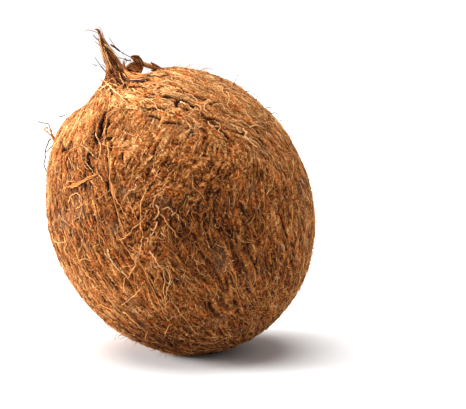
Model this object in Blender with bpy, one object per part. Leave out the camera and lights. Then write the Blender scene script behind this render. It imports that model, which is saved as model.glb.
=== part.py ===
"""Whole brown coconut: a stone-hard nut grown into its matted coir coat, one solid from pole to pole.

Metres, +Z up. The origin is the middle of the small flat that the nut rests on. The stem axis
leans towards -X, and the side with the seam faces -Y. The nut's own frame, in which its outlines
are given, has its origin at the nut's middle: across (right), forth (away from the front) and
along (up the stem axis).
"""

import math

import bmesh
import bpy
from mathutils import Matrix, Vector

# Driving dimensions
NUT_WIDTH = 0.116  # across the equator, coir coat included
NUT_LENGTH = 0.130  # pole to pole along the stem axis, without the tuft
STEM_LEAN = math.radians(27.0)  # of the stem axis from upright
REST_DEPTH = 0.0020  # the coat is pressed flat this deep where the nut rests

# The three faint ridges that every coconut has, one of them at the seam
RIDGE_COUNT = 3
RIDGE_RISE = 0.010  # of the radius
SEAM_AZIMUTH = math.radians(-24.0)  # from the front, positive to the right

# The neck at the stem end, and the hollow round it
NECK_RISE = 0.0042
NECK_SPREAD = 0.0065
NECK_OFFSET = 0.0030  # across, from the stem axis
HOLLOW_DEPTH = 0.0018
HOLLOW_RADIUS = 0.0155
HOLLOW_SPREAD = 0.0055

# The high shoulder on the side that the stem leans to
SHOULDER_RISE = 0.0019
SHOULDER_POLAR = math.radians(40.0)  # down from the stem pole
SHOULDER_SPREAD = math.radians(15.0)

# Strands of the tuft in the nut's own frame: (across, forth, along), radius
SHEAF = [
    ((0.0020, 0.0000, 0.0560), 0.0052),
    ((0.0040, 0.0000, 0.0650), 0.0045),
    ((0.0046, 0.0000, 0.0700), 0.0038),
    ((0.0042, -0.0004, 0.0745), 0.0028),
    ((0.0033, -0.0008, 0.0790), 0.0017),
    ((0.0036, -0.0010, 0.0830), 0.0010),
    ((0.0046, -0.0010, 0.0864), 0.0006),
]
STUB = [
    ((0.0075, 0.0000, 0.0580), 0.0026),
    ((0.0105, -0.0005, 0.0645), 0.0024),
    ((0.0138, -0.0010, 0.0668), 0.0021),
    ((0.0165, -0.0008, 0.0628), 0.0018),
    ((0.0200, -0.0002, 0.0600), 0.0015),
    ((0.0250, 0.0000, 0.0560), 0.0010),
]

# Mesh detail
NUT_SEGMENTS = 64
NUT_RINGS = 40
STRAND_SIDES = 10
STRAND_STEPS = 3  # rings between two of a strand's points
LOBE_COUNT = 3
LOBE_DEPTH = 0.16  # how deep a strand's section is fluted, as a share of its radius

COIR_COLOUR = (0.43, 0.18, 0.055, 1.0)
COIR_ROUGHNESS = 0.92

# Half the height of the leaning ellipsoid, which sets how high the nut's middle lies. Its lowest
# point isn't under its middle, and neither is the flat cut there.
HALF_HEIGHT = math.hypot(
    NUT_WIDTH / 2 * math.sin(STEM_LEAN), NUT_LENGTH / 2 * math.cos(STEM_LEAN)
)
LOWEST_ACROSS = (NUT_LENGTH**2 - NUT_WIDTH**2) / 8 * math.sin(2 * STEM_LEAN) / HALF_HEIGHT
REST_ACROSS = LOWEST_ACROSS * (1 - REST_DEPTH / HALF_HEIGHT)
NUT_PLACE = Matrix.Translation((-REST_ACROSS, 0, HALF_HEIGHT - REST_DEPTH)) @ Matrix.Rotation(
    -STEM_LEAN, 4, "Y"
)


def bell(distance, spread):
    """1 in the middle of a rise, falling to nothing a few spreads away."""
    return math.exp(-((distance / spread) ** 2))


def nut_point(polar, azimuth):
    """A point of the coat: an ellipsoid with three ridges, a neck, a hollow and a shoulder."""
    ridge = RIDGE_RISE * math.sin(polar) ** 2
    swell = 1 + ridge * math.cos(RIDGE_COUNT * (azimuth - SEAM_AZIMUTH))
    radius = NUT_WIDTH / 2 * math.sin(polar) * swell
    across = radius * math.sin(azimuth)
    forth = -radius * math.cos(azimuth)
    along = NUT_LENGTH / 2 * math.cos(polar)
    if polar < math.pi / 2:
        neck = bell(math.hypot(across - NECK_OFFSET, forth), NECK_SPREAD)
        along += NECK_RISE * neck - HOLLOW_DEPTH * bell(radius - HOLLOW_RADIUS, HOLLOW_SPREAD)
    to_the_lean = max(0.0, -math.sin(azimuth)) ** 2
    shoulder = SHOULDER_RISE * to_the_lean * bell(polar - SHOULDER_POLAR, SHOULDER_SPREAD)
    outward = 1 + shoulder / (NUT_WIDTH / 2)
    return Vector((across * outward, forth * outward, along * outward))


def coir_material():
    material = bpy.data.materials.new("coir")
    material.use_nodes = True
    shader = material.node_tree.nodes["Principled BSDF"]
    shader.inputs["Base Color"].default_value = COIR_COLOUR
    shader.inputs["Roughness"].default_value = COIR_ROUGHNESS
    shader.inputs["Metallic"].default_value = 0.0
    return material


def new_object(name, bm, material):
    mesh = bpy.data.meshes.new(name)
    bm.to_mesh(mesh)
    bm.free()
    mesh.materials.append(material)
    mesh.shade_smooth()
    thing = bpy.data.objects.new(name, mesh)
    bpy.context.collection.objects.link(thing)
    return thing


def nut(material):
    """The coat as one closed surface, set at its lean and cut flat where it rests."""
    bm = bmesh.new()
    bmesh.ops.create_uvsphere(bm, u_segments=NUT_SEGMENTS, v_segments=NUT_RINGS, radius=1.0)
    for vertex in bm.verts:
        place = vertex.co
        polar = math.acos(max(-1.0, min(1.0, place.z)))
        azimuth = math.atan2(place.x, -place.y)
        vertex.co = NUT_PLACE @ nut_point(polar, azimuth)
    everything = bm.verts[:] + bm.edges[:] + bm.faces[:]
    cut = bmesh.ops.bisect_plane(
        bm, geom=everything, plane_co=(0, 0, 0), plane_no=(0, 0, 1), clear_inner=True
    )
    rim = [part for part in cut["geom_cut"] if isinstance(part, bmesh.types.BMEdge)]
    for edge in rim:
        edge.smooth = False
    bmesh.ops.contextual_create(bm, geom=rim)
    bmesh.ops.recalc_face_normals(bm, faces=bm.faces[:])
    return new_object("coconut", bm, material)


def smooth_path(strand):
    """A strand's points and radii with a Catmull-Rom curve run through them."""
    places = [Vector(place) for place, radius in strand]
    radii = [radius for place, radius in strand]
    rings = []
    last = len(strand) - 1
    for index in range(last):
        before = places[max(index - 1, 0)]
        after = places[min(index + 2, last)]
        start, end = places[index], places[index + 1]
        for step in range(STRAND_STEPS):
            t = step / STRAND_STEPS
            place = 0.5 * (
                2 * start
                + (end - before) * t
                + (2 * before - 5 * start + 4 * end - after) * t**2
                + (3 * start - before - 3 * end + after) * t**3
            )
            rings.append((place, radii[index] + (radii[index + 1] - radii[index]) * t))
    rings.append((places[last], radii[last]))
    return rings


def tuft_strand(name, strand, material):
    """A fluted, tapering strand swept along its path, closed at both ends."""
    rings = smooth_path(strand)
    bm = bmesh.new()
    loops = []
    for index, (place, radius) in enumerate(rings):
        ahead = rings[min(index + 1, len(rings) - 1)][0]
        behind = rings[max(index - 1, 0)][0]
        heading = (ahead - behind).normalized()
        front = heading.cross(Vector((0, 1, 0))).normalized()
        side = heading.cross(front)
        loop = []
        for corner in range(STRAND_SIDES):
            turn = 2 * math.pi * corner / STRAND_SIDES
            reach = radius * (1 - LOBE_DEPTH * math.sin(LOBE_COUNT * turn) ** 2)
            offset = front * math.cos(turn) + side * math.sin(turn)
            loop.append(bm.verts.new(NUT_PLACE @ (place + offset * reach)))
        loops.append(loop)
    for lower, upper in zip(loops, loops[1:]):
        for corner in range(STRAND_SIDES):
            following = (corner + 1) % STRAND_SIDES
            bm.faces.new((lower[corner], lower[following], upper[following], upper[corner]))
    bm.faces.new(loops[0])
    bm.faces.new(loops[-1])
    bmesh.ops.recalc_face_normals(bm, faces=bm.faces[:])
    return new_object(name, bm, material)


def grow_on(body, strand):
    """Unites a strand with the body, which then is one solid with it."""
    strand.hide_render = True
    strand.display_type = "WIRE"
    union = body.modifiers.new(f"{strand.name}_union", "BOOLEAN")
    union.operation = "UNION"
    union.solver = "EXACT"
    union.object = strand


def build():
    for old in list(bpy.data.objects):
        bpy.data.objects.remove(old, do_unlink=True)
    material = coir_material()
    coconut = nut(material)
    grow_on(coconut, tuft_strand("tuft_sheaf", SHEAF, material))
    grow_on(coconut, tuft_strand("tuft_stub", STUB, material))


build()
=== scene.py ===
# Whole brown coconut: a felted coir coat over the nut, loose fibres and the tuft at the stem end.
# Lengths are metres. The nut's own frame has its middle as origin: x across, y away from the front,
# z up the stem axis. A place on the coat is a polar angle down from the stem pole and an azimuth
# round the axis, 0 at the front and positive to the right.
import math

import bpy
import numpy as np
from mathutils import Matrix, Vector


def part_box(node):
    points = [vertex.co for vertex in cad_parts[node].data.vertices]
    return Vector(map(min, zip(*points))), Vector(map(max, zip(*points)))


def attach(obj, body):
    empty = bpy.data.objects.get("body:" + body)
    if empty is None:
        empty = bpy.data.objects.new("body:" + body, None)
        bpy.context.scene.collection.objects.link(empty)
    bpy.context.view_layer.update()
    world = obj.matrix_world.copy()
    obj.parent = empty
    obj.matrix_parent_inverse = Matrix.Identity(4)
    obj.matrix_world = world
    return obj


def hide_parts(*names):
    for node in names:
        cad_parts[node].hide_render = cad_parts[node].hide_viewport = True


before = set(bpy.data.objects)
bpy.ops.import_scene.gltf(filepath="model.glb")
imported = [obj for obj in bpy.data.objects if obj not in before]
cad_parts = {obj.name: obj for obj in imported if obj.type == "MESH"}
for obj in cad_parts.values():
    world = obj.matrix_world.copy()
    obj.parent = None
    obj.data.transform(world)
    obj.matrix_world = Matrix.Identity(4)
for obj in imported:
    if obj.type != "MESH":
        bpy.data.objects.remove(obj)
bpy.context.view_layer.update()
lowCorner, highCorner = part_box("coconut")
mm = 0.001  # metres

# the camera
camera = {
    "aimAcross": 0.0180,  # the nut stands left of the middle of the view
    "aimUp": 0.0648,
    "elevation": 7.0,  # degrees above the horizon
    "distance": 0.5695,
    "lens": 100.0,
}


def makeCamera(values):
    # set back from where it aims by the distance, along a line that rises by the elevation
    data = bpy.data.cameras.new("camera")
    data.lens = values["lens"]
    thing = bpy.data.objects.new("camera", data)
    bpy.context.collection.objects.link(thing)
    tilt = math.radians(values["elevation"])
    thing.location = (
        values["aimAcross"],
        -values["distance"] * math.cos(tilt),
        values["aimUp"] + values["distance"] * math.sin(tilt),
    )
    thing.rotation_euler = (math.pi / 2 - tilt, 0, 0)
    bpy.context.scene.camera = thing


makeCamera(camera)
print("camera placed")

# the nut's shape
nut = {
    "width": highCorner.y - lowCorner.y,  # across the equator, coat included
    "slender": 1.1207,  # length over width
    "lean": math.radians(27.0),  # of the stem axis from upright
    "restDepth": 0.0020,  # how deep the coat is pressed flat where it rests
    "ridges": 3,
    "ridgeRise": 0.010,
    "seamAzimuth": math.radians(-24.0),
    "neckRise": 0.0042,
    "neckSpread": 0.0065,
    "neckOffset": 0.0030,
    "hollowDepth": 0.0018,
    "hollowRadius": 0.0155,
    "hollowSpread": 0.0055,
    "shoulderRise": 0.0019,
    "shoulderPolar": math.radians(40.0),
    "shoulderSpread": math.radians(15.0),
    "coatInset": 0.0009,  # the felt lies this far inside the outline that the fibres fill
    "floorGap": 0.0002,
}
halfWidth = nut["width"] / 2
halfLength = halfWidth * nut["slender"]
halfHeight = math.hypot(
    halfWidth * math.sin(nut["lean"]), halfLength * math.cos(nut["lean"])
)
lowestAcross = (halfLength**2 - halfWidth**2) / 2 * math.sin(2 * nut["lean"]) / halfHeight
nutMiddle = np.array([
    -lowestAcross * (1 - nut["restDepth"] / halfHeight),
    (lowCorner.y + highCorner.y) / 2,
    halfHeight - nut["restDepth"],
])
leanTurn = np.array([
    [math.cos(nut["lean"]), 0, -math.sin(nut["lean"])],
    [0, 1, 0],
    [math.sin(nut["lean"]), 0, math.cos(nut["lean"])],
])
semiAxes = np.array([halfWidth, halfWidth, halfLength])
forthAxis = np.array([0.0, 1.0, 0.0])


def toWorld(points):
    # turned by the lean of the stem axis, then moved to the nut's middle
    return points @ leanTurn.T + nutMiddle


def bell(distance, spread):
    # 1 in the middle, falling away as a Gaussian
    return np.exp(-((distance / spread) ** 2))


def ramp(value, start, end):
    # 0 before start and 1 after end, eased at both ends
    t = np.clip((value - start) / (end - start), 0, 1)
    return t * t * (3 - 2 * t)


def unitRows(vectors):
    # each vector divided by its length
    return vectors / np.maximum(np.linalg.norm(vectors, axis=-1, keepdims=True), 1e-12)


def smoothCurve(values, t):
    # Catmull-Rom through evenly spaced values, read at t from 0 to 1
    values = np.asarray(values, float)
    last = len(values) - 1
    scaled = np.clip(t, 0, 1) * last
    start = np.minimum(scaled.astype(int), last - 1)
    part = (scaled - start).reshape(scaled.shape + (1,) * (values.ndim - 1))
    before, here = values[np.maximum(start - 1, 0)], values[start]
    after, beyond = values[start + 1], values[np.minimum(start + 2, last)]
    return 0.5 * (
        2 * here
        + (after - before) * part
        + (2 * before - 5 * here + 4 * after - beyond) * part**2
        + (3 * here - before - 3 * after + beyond) * part**3
    )


# large odd numbers that scatter the lattice's corners and the seeds
hashSteps = np.array([73856093, 19349663, 83492791])
seedStep, hashMix = 265443576, 1274126177


def latticeNoise(points, seed):
    # value noise from -1 to 1: each corner of the unit lattice has a hashed number, and a point
    # blends its cell's eight corners with an eased weight along each axis
    cell = np.floor(points).astype(np.int64)
    part = points - cell
    part = part * part * (3 - 2 * part)
    total = np.zeros(points.shape[:-1])
    for corner in range(8):
        step = np.array([corner & 1, corner >> 1 & 1, corner >> 2 & 1])
        key = (cell + step) @ hashSteps + seed * seedStep
        key = ((key ^ (key >> 13)) * hashMix) & 0x7FFFFFFF
        value = ((key ^ (key >> 15)) & 0xFFFF) / 32767.5 - 1
        total += value * np.prod(np.where(step, part, 1 - part), axis=-1)
    return total


def wrapped(angle):
    # the same angle, brought between -pi and pi
    return (angle + math.pi) % (2 * math.pi) - math.pi


def smoothShape(polar, azimuth):
    # an ellipsoid of revolution whose radius swells at the ridges, with a bell for the neck, a
    # ring-shaped dip round it, and a swelling at the shoulder on the side the stem leans to
    swell = np.cos(nut["ridges"] * (azimuth - nut["seamAzimuth"]))
    radius = halfWidth * np.sin(polar) * (1 + nut["ridgeRise"] * np.sin(polar) ** 2 * swell)
    across, forth = radius * np.sin(azimuth), -radius * np.cos(azimuth)
    neck = bell(np.hypot(across - nut["neckOffset"], forth), nut["neckSpread"])
    hollow = bell(radius - nut["hollowRadius"], nut["hollowSpread"])
    upper = polar < math.pi / 2
    along = halfLength * np.cos(polar)
    along = along + upper * (nut["neckRise"] * neck - nut["hollowDepth"] * hollow)
    toTheLean = np.maximum(0, -np.sin(azimuth)) ** 2
    shoulder = toTheLean * bell(polar - nut["shoulderPolar"], nut["shoulderSpread"])
    outward = 1 + nut["shoulderRise"] / halfWidth * shoulder
    return np.stack([across, forth, along], axis=-1) * outward[..., None]


def shapeNormal(polar, azimuth):
    # the cross product of the shape's two slopes, taken over a small step each way
    step = 2e-3
    polar = np.clip(polar, 2 * step, math.pi - 2 * step)
    down = smoothShape(polar + step, azimuth) - smoothShape(polar - step, azimuth)
    right = smoothShape(polar, azimuth + step) - smoothShape(polar, azimuth - step)
    return unitRows(np.cross(down, right))


def anglesOf(points):
    # polar angle and azimuth of points on the plain ellipsoid
    scaled = unitRows(points / semiAxes)
    return np.arccos(np.clip(scaled[..., 2], -1, 1)), np.arctan2(scaled[..., 0], -scaled[..., 1])


def surfaceTangents(polar, azimuth):
    # on the plain ellipsoid: the outward normal, the way down the meridian and the way round
    unit = np.stack([
        np.sin(polar) * np.sin(azimuth), -np.sin(polar) * np.cos(azimuth), np.cos(polar)
    ], axis=-1)
    down = np.stack([
        halfWidth * np.cos(polar) * np.sin(azimuth),
        -halfWidth * np.cos(polar) * np.cos(azimuth),
        -halfLength * np.sin(polar),
    ], axis=-1)
    right = np.stack([np.cos(azimuth), np.sin(azimuth), 0 * azimuth], axis=-1)
    return unitRows(unit / semiAxes), unitRows(down), right


# the crest that runs from the tuft to the right, and how the lie turns at it, in radians from
# the meridian; all the other angles are degrees
crestLine = {
    "polar": (18, 28, 34, 39, 49, 59, 69, 80, 95),
    "azimuth": (-12, 1, 11, 19, 29, 38, 46, 53, 60),
    "sweep": -0.95,  # the turn in front of it
    "sweepBelow": (1, 13),  # grows between these angles below it
    "sweepRight": (-19, -8),  # and between these azimuths
    "sweepFrom": (24, 36),  # comes between these polar angles
    "sweepTo": (74, 104),  # and goes between these
    "along": 0.40,  # the turn on the crest
    "alongBelow": 4,
    "alongReach": 14,
    "alongFrom": (22, 36),
    "alongTo": (80, 105),
}
lieDrift = {
    "waves": ((0.30, 0.021, 31), (0.22, 0.007, 32)),  # turn, size across, seed
    "poleCalm": (0.8, 0.35),  # the share that is missing at the stem pole, and its reach
    "leftCalm": (0.6, 0.5),  # and round this azimuth
    "leftAzimuth": math.radians(-62),
}


def layAngle(polar, azimuth, place):
    # the way the fibres lie, as an angle from the meridian: a slow drift, a turn to the right on
    # the crest, and a sweep to the left where they fall away from it towards the seam
    crest, drift = crestLine, 0
    for turn, size, seed in lieDrift["waves"]:
        drift = drift + turn * latticeNoise(place / size, seed)
    down, right = np.degrees(polar), np.degrees(azimuth)
    below = np.interp(down, crest["polar"], crest["azimuth"]) - right
    sweep = crest["sweep"] * ramp(below, *crest["sweepBelow"]) * ramp(right, *crest["sweepRight"])
    sweep = sweep * ramp(down, *crest["sweepFrom"]) * (1 - ramp(down, *crest["sweepTo"]))
    along = crest["along"] * bell(below + crest["alongBelow"], crest["alongReach"])
    along = along * ramp(down, *crest["alongFrom"]) * (1 - ramp(down, *crest["alongTo"]))
    poleShare, poleReach = lieDrift["poleCalm"]
    leftShare, leftReach = lieDrift["leftCalm"]
    nearPole = 1 - poleShare * bell(polar, poleReach)
    calm = 1 - leftShare * bell(wrapped(azimuth - lieDrift["leftAzimuth"]), leftReach)
    return drift * calm * nearPole + sweep + along


def layDirection(polar, azimuth, place):
    # that lie as a unit vector: the way down the meridian turned by the angle
    down, right = surfaceTangents(polar, azimuth)[1:]
    angle = layAngle(polar, azimuth, place)
    return np.cos(angle)[..., None] * down + np.sin(angle)[..., None] * right


def streaks(place, direction, width, seed, steps=3):
    # noise smeared along the lie: the sum of samples taken about a cell apart each way, divided
    # by the root of their number
    stride = 1.1  # cells
    total = 0
    for step in range(-steps, steps + 1):
        total = total + latticeNoise((place + direction * (step * width * stride)) / width, seed)
    return total / math.sqrt(2 * steps + 1)


# cracks and tears in the coat: half width and depth in mm, and the places they run through as
# polar angle and azimuth in degrees. A negative depth is a raised line. The depth also paints
# shade into the felt along a line, and a raised line is painted paler as a highlight.
coatLines = [
    (0.8, -0.7, [
        (15, -2), (27, -3), (35.1, -7.9), (45.1, -10.9), (56.1, -13.5), (66.1, -15.8),
        (78.1, -17.4), (89.9, -18.7), (101.8, -21.7), (113.8, -25.7),
    ]),
    (0.35, 0.45, [
        (48.2, -12.5), (56.2, -15.4), (66.1, -18), (78.1, -19.6), (89.9, -21.1), (101.8, -24),
    ]),
    (0.35, 0.35, [(58.1, -12.3), (68.1, -14.2), (80, -15.6), (91.9, -17)]),
    (0.85, 1.6, [(35.3, -9.9), (37, -11.8), (38.7, -13.2), (40.1, -15.3)]),
    (1.15, 2.4, [(42, -14.2), (43.1, -15.4), (44.2, -16.7), (45.3, -17.3)]),
    (0.5, 0.9, [(39.8, -8.6), (41.6, -9.5), (42.7, -10.9), (45.4, -11.9)]),
    (0.7, 0.8, [
        (50.8, -10.9), (52.6, -12.1), (59.8, -15.6), (61.6, -16.6), (64, -17.6), (65.6, -18.8),
    ]),
    (1, 1.3, [(40.9, -39), (42.4, -40.4), (43.6, -43), (42.9, -47.4)]),
    (0.6, 0.7, [(31.6, -43.3), (33, -47), (33.8, -51.7)]),
    (0.6, 0.7, [(35.7, -45.4), (36.3, -49.8)]),
    (0.5, 0.6, [(46.8, -41.3), (48.9, -43), (51.4, -42)]),
    (0.9, 1.2, [(51.6, -25.5), (53.1, -26.1), (54.4, -26), (55.8, -25.2), (57.7, -24.4)]),
    (0.7, 1, [(49.6, -23.7), (50.8, -23.3)]),
    (0.6, 0.9, [(51.5, -19), (52.7, -19.4)]),
    (0.7, 0.9, [(44.2, -19.5), (46.2, -19.1)]),
    (0.55, 1.7, [(8, 45), (12.1, 33.4), (15.6, 32.1), (23.2, 29.7), (25.4, 33.5), (26.5, 38.2)]),
    (0.42, 1.1, [(26.1, 15.6), (26.7, 19.6), (27.5, 23), (29.4, 24.8), (32.3, 26.4)]),
    (0.7, 1.5, [(15.3, 24.7), (19.6, 18), (24.1, 13.5)]),
    (0.35, 0.8, [(18.8, 51.4), (24.9, 43.9), (27.4, 46.1), (29.2, 49.6), (30.8, 55.1)]),
    (0.5, 1, [(5.1, 19.6), (7.3, 21.1), (9.8, 18.4)]),
    (0.5, 1, [(12, 10.4), (11.7, 18.1), (14.3, 19)]),
    (0.4, 0.9, [(7.6, 0.6), (10.7, 3.8), (14.7, 4.9), (23.1, 4.1)]),
    (0.5, 1.3, [(42.1, 40.6), (43.8, 43), (45.9, 44.8), (48.2, 46), (51.5, 46.7)]),
    (0.6, 1.5, [(47, 33.8), (47.2, 36.3), (48.9, 37.9), (51.1, 37.8), (52.8, 37.9)]),
    (0.45, 1.2, [(41.9, 28.7), (42.7, 31.6), (44.2, 33.5), (46, 34.9)]),
    (0.45, 1.1, [(43.9, 16.9), (45.3, 20.4), (46.2, 22.8), (47.6, 24.8)]),
    (0.5, 1.3, [(59.6, 47.1), (61, 49.7), (63, 51.4), (65.2, 53)]),
    (0.5, 1.2, [(57.5, 37.6), (59.8, 38.9), (61.5, 40.9), (63.3, 42.1)]),
    (0.4, 1, [(55, 47.5), (55.7, 51.4), (57, 53.6)]),
    (0.45, 1.1, [(46, 14.5), (47.8, 16.8), (50.3, 18.6)]),
    (0.4, 1, [(50.9, 25.9), (52.2, 27.9), (54.5, 28.7)]),
    (0.4, 1, [(67.3, 52.3), (69.3, 54.3), (71.4, 55.3)]),
    (0.4, 1, [(58.9, 26.3), (59.8, 29), (61.3, 31.7), (63.7, 33.5)]),
    (0.4, 0.9, [(52.7, 19), (53.7, 21.7), (55.2, 23.9), (56.7, 25.9)]),
    (0.35, 0.9, [(47.6, 55.7), (48.5, 59.1), (50.3, 60.5)]),
    (0.35, 0.9, [(58.9, 55.6), (61, 57.3), (63.5, 58.5)]),
    (0.3, 0.4, [(40, 3.3), (39.8, 6.2)]),
    (0.3, 0.4, [(44.5, -3.6), (42.9, -0.9), (41.7, 1.7)]),
    (0.4, 0.5, [(58.8, 6), (59.3, 4.2), (60.5, 1.9)]),
    (0.3, 0.35, [(47.6, 7.3), (48.4, 5.6), (49.4, 3.2)]),
    (0.35, 0.4, [(51, 1.2), (51.7, -0.8), (50.8, -2.7)]),
    (0.6, 1.3, [(20.2, -2.1), (28.2, -3.9), (32.5, -7.7), (34.2, -9.7)]),
    (0.4, 0.4, [(54, 9), (55.1, 9.4)]),
    (0.4, 0.4, [(56.4, 10.1), (57.2, 8.6)]),
    (0.5, 0.5, [(72.7, -8.2), (73.2, -8.5)]),
    (0.45, 0.5, [(73.8, -6.5), (75.3, -7.5)]),
    (0.6, 0.8, [(96.7, -17.6), (94.9, -17.9)]),
    (0.6, 0.8, [(100.7, -18), (103, -17.7)]),
    (0.6, 0.7, [(112.3, -39.2), (115.1, -39.2), (118.1, -39.5), (119.9, -39.8)]),
    (0.5, 0.6, [(109.2, -43.1), (111.3, -43), (113.6, -43)]),
    (0.7, 0.7, [(76.8, -39.5), (78.7, -39.4)]),
    (0.6, 0.7, [(81.8, -32), (83.3, -32.3)]),
    (0.6, 0.7, [(85, -34.7), (87.2, -33.9), (88.6, -33.1)]),
    (0.4, 0.9, [(40.1, 42.1), (37.8, 43.3), (35.9, 43.9)]),
    (0.65, 1.4, [(46.8, 34.3), (47.4, 32), (49, 30.7)]),
    (0.6, 1.3, [(47.4, 36.2), (49.1, 37.6), (50.8, 37.6), (52.9, 37.4)]),
    (0.5, 0.9, [(51.5, 32.6), (52.7, 33.9)]),
    (0.6, 1.2, [(55.9, 38.2), (57.7, 38.4)]),
    (0.6, 1.2, [(56, 42.3), (58.1, 43.1)]),
    (0.35, 0.8, [(37.6, 21.2), (39.1, 22.7)]),
    (0.35, 0.7, [(36.1, 33), (35.5, 35.7)]),
    (0.5, 1, [(65.3, 39.2), (68.1, 40), (70.3, 40.8)]),
    (0.5, 0.9, [(71.9, 41.1), (73.1, 41.8)]),
    (0.5, 1.1, [(72, 48.3), (73.8, 49.1)]),
    (0.35, 0.8, [(65.1, 31), (66.8, 31.7)]),
    (0.35, 0.5, [(57.5, 10.5), (58.2, 7.9), (58.8, 6.1)]),
    (0.35, 0.5, [(52.8, 9.8), (54.7, 10.7), (56.4, 10.2)]),
    (0.3, 0.4, [(42.4, 8.7), (42.9, 5.7)]),
    (0.35, 0.7, [(38.9, -8), (42.1, -9.7), (44.5, -11.3), (47.6, -11.6)]),
    (0.4, 0.7, [(63.8, -18), (66, -18.4), (68.7, -18.5)]),
    (0.5, 0.9, [(71.5, -18.1), (74, -18.6), (76.6, -18.9)]),
    (0.45, 0.9, [(55.1, -5.8), (57.5, -7.4), (60, -7.5)]),
    (0.45, 0.9, [(61.3, -8.5), (63.7, -9.7), (65.6, -10)]),
    (0.4, 0.8, [(66.9, -11.7), (68.9, -12.8)]),
    (0.6, 1, [(50, -10.6), (51.9, -11.8)]),
    (0.4, 0.6, [(47.2, -41.2), (49.2, -43.4), (51.9, -42)]),
    (0.35, 0.6, [(49.9, -39.8), (51.6, -39.4)]),
    (0.5, 0.9, [(61.2, -29.5), (62.4, -29.6)]),
    (0.4, 0.8, [(53.1, -47.7), (54.7, -47.4)]),
]

coatRelief = {
    "lump": (0.013, 0.00036),  # size across, height
    "rib": (0.0016, 0.00012),
    "thread": (0.00072, 0.00025),
    "pith": (0.00090, 0.00023),
    "finePith": 0.6,  # of the pith's height, at half its size
    "underPith": 0.4,  # how much ribs and threads fade where pith covers them
    "gash": (0.0007, 0.00050),
    "gashOpens": (0.60, 0.90),  # between these values of the smeared noise
    "gashPatches": (0.010, 0.25),  # size across, and weight, of the noise that gathers gashes
}
# the gash and ditch terms paint shade into the felt's hollows, and the raised term paints a
# highlight on raised lines
coatTone = {
    "middle": 0.485,
    "rib": 0.06,
    "thread": 0.36,
    "pith": 0.33,
    "gash": 0.40,
    "ditchShade": 420,  # darker by this for each metre of a line's depth
    "raised": 120,  # paler by this for each metre of a raised line
}
pithCover = {
    "polar": math.radians(72.0),  # the middle of the front, where it is thickest
    "azimuth": math.radians(8.0),
    "reach": 0.026,
    "least": 0.20,
    "front": 0.75,
    "patches": 0.7,
    "patchSize": 0.014,
    "patchOpens": (0.1, 0.8),
}

# broad zones where the coat is paler or darker, partly its own tone and partly painted light and
# shade, such as a cast shadow on the front and a paler top where the light falls: the place and
# the zone's reach in degrees, and the change of tone
toneAndShadeZones = [
    (10, 50, 7, -0.16),
    (26, 20, 20, 0.13),
    (42, 55, 20, 0.1),
    (60, 78, 20, 0.06),
    (40, -40, 20, 0.04),
    (74, 8, 26, -0.09),
    (95, 15, 30, -0.06),
    (125, 20, 34, -0.1),
    (22, 0, 24, -0.04),
    (44, -25, 24, 0.056),
    (44, 0, 24, 0.026),
    (44, 25, 24, 0.091),
    (44, 75, 24, 0.077),
    (66, -50, 24, -0.09),
    (66, -25, 24, -0.085),
    (66, 0, 24, 0.109),
    (66, 25, 24, 0.111),
    (66, 50, 24, -0.044),
    (88, -25, 24, 0.122),
    (88, 0, 24, -0.203),
    (110, -25, 24, 0.013),
    (132, -50, 24, -0.356),
    (44, 50, 24, -0.032),
    (88, -50, 24, -0.059),
    (110, -50, 24, 0.133),
    (44, -50, 24, 0.019),
    (41, -12, 9, -0.18),
    (59, -34, 9, -0.12),
    (89, -10, 10, 0.12),
    (48, 40, 9, -0.05),
    (33, 13, 8, 0.05),
    (67, -37, 8, 0.04),
    (41, -71, 9, -0.03),
    (40, -12, 8, -0.07),
    (59, -34, 8, -0.05),
    (89, -10, 9, 0.05),
    (32, -38, 8, 0.15),
    (68, -38, 8, 0.04),
    (53, -15, 7, 0.04),
    (46, 5, 8, -0.04),
    (32, -82, 8, -0.085),
    (86, -17, 8, -0.12),
    (91, -34, 9, -0.05),
    (111, -45, 9, 0.06),
    (69, -38, 9, 0.045),
    (101, -44, 9, -0.04),
    (10, 82, 8, -0.04),
    (53, 16, 8, -0.04),
    (60, 72, 9, 0.04),
]


def lineDepth(place, lines):
    # a Gaussian ditch along each line: its depth times a bell of the distance to the line's
    # nearest piece
    total = np.zeros(place.shape[:-1])
    for half, depth, knots in lines:
        knots = np.radians(np.array(knots, float))
        knots = smoothShape(knots[:, 0], knots[:, 1])
        reach = 3.5 * mm * half  # past this the bell is nothing
        near = ((place > knots.min(0) - reach) & (place < knots.max(0) + reach)).all(-1)
        points = place[near]
        nearest = np.full(len(points), 1.0)
        for start, end in zip(knots[:-1], knots[1:]):
            run = end - start
            share = np.clip((points - start) @ run / (run @ run), 0, 1)
            distance = np.linalg.norm(points - start - share[:, None] * run, axis=-1)
            nearest = np.minimum(nearest, distance)
        total[near] += mm * depth * bell(nearest, mm * half)
    return total


# swells and hollows of the coat: half width and depth in mm like the lines, without a change of
# tone. The first is the crest that runs from the tuft to the right.
coatSwells = [
    (8.0, -1.0, [(20, -9), (33, 7), (39, 19), (49, 29), (59, 38), (69, 46), (80, 53), (92, 58)]),
    (9.0, -0.8, [(36, 88), (45, 92), (54, 95)]),
    (9.0, 1.3, [(42, -84), (50, -80), (58, -76)]),
]


def pithiness(place):
    # 1 where short crumbs of pith cover the coat, which is most of the front, and near 0 where
    # combed fibre does: a bell round the front and patches of noise
    cover = pithCover
    middle = smoothShape(cover["polar"], cover["azimuth"])
    front = bell(np.linalg.norm(place - middle, axis=-1), cover["reach"])
    patch = ramp(latticeNoise(place / cover["patchSize"], 18), *cover["patchOpens"])
    return np.clip(cover["least"] + cover["front"] * front + cover["patches"] * patch, 0, 1)


def zoneTone(place, zones):
    # the sum of a bell round each zone's middle
    total = np.zeros(place.shape[:-1])
    for polar, azimuth, reach, change in zones:
        middle = smoothShape(np.radians(float(polar)), np.radians(float(azimuth)))
        distance = np.linalg.norm(place - middle, axis=-1)
        total += change * bell(distance, halfWidth * math.radians(reach))
    return total


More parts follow.
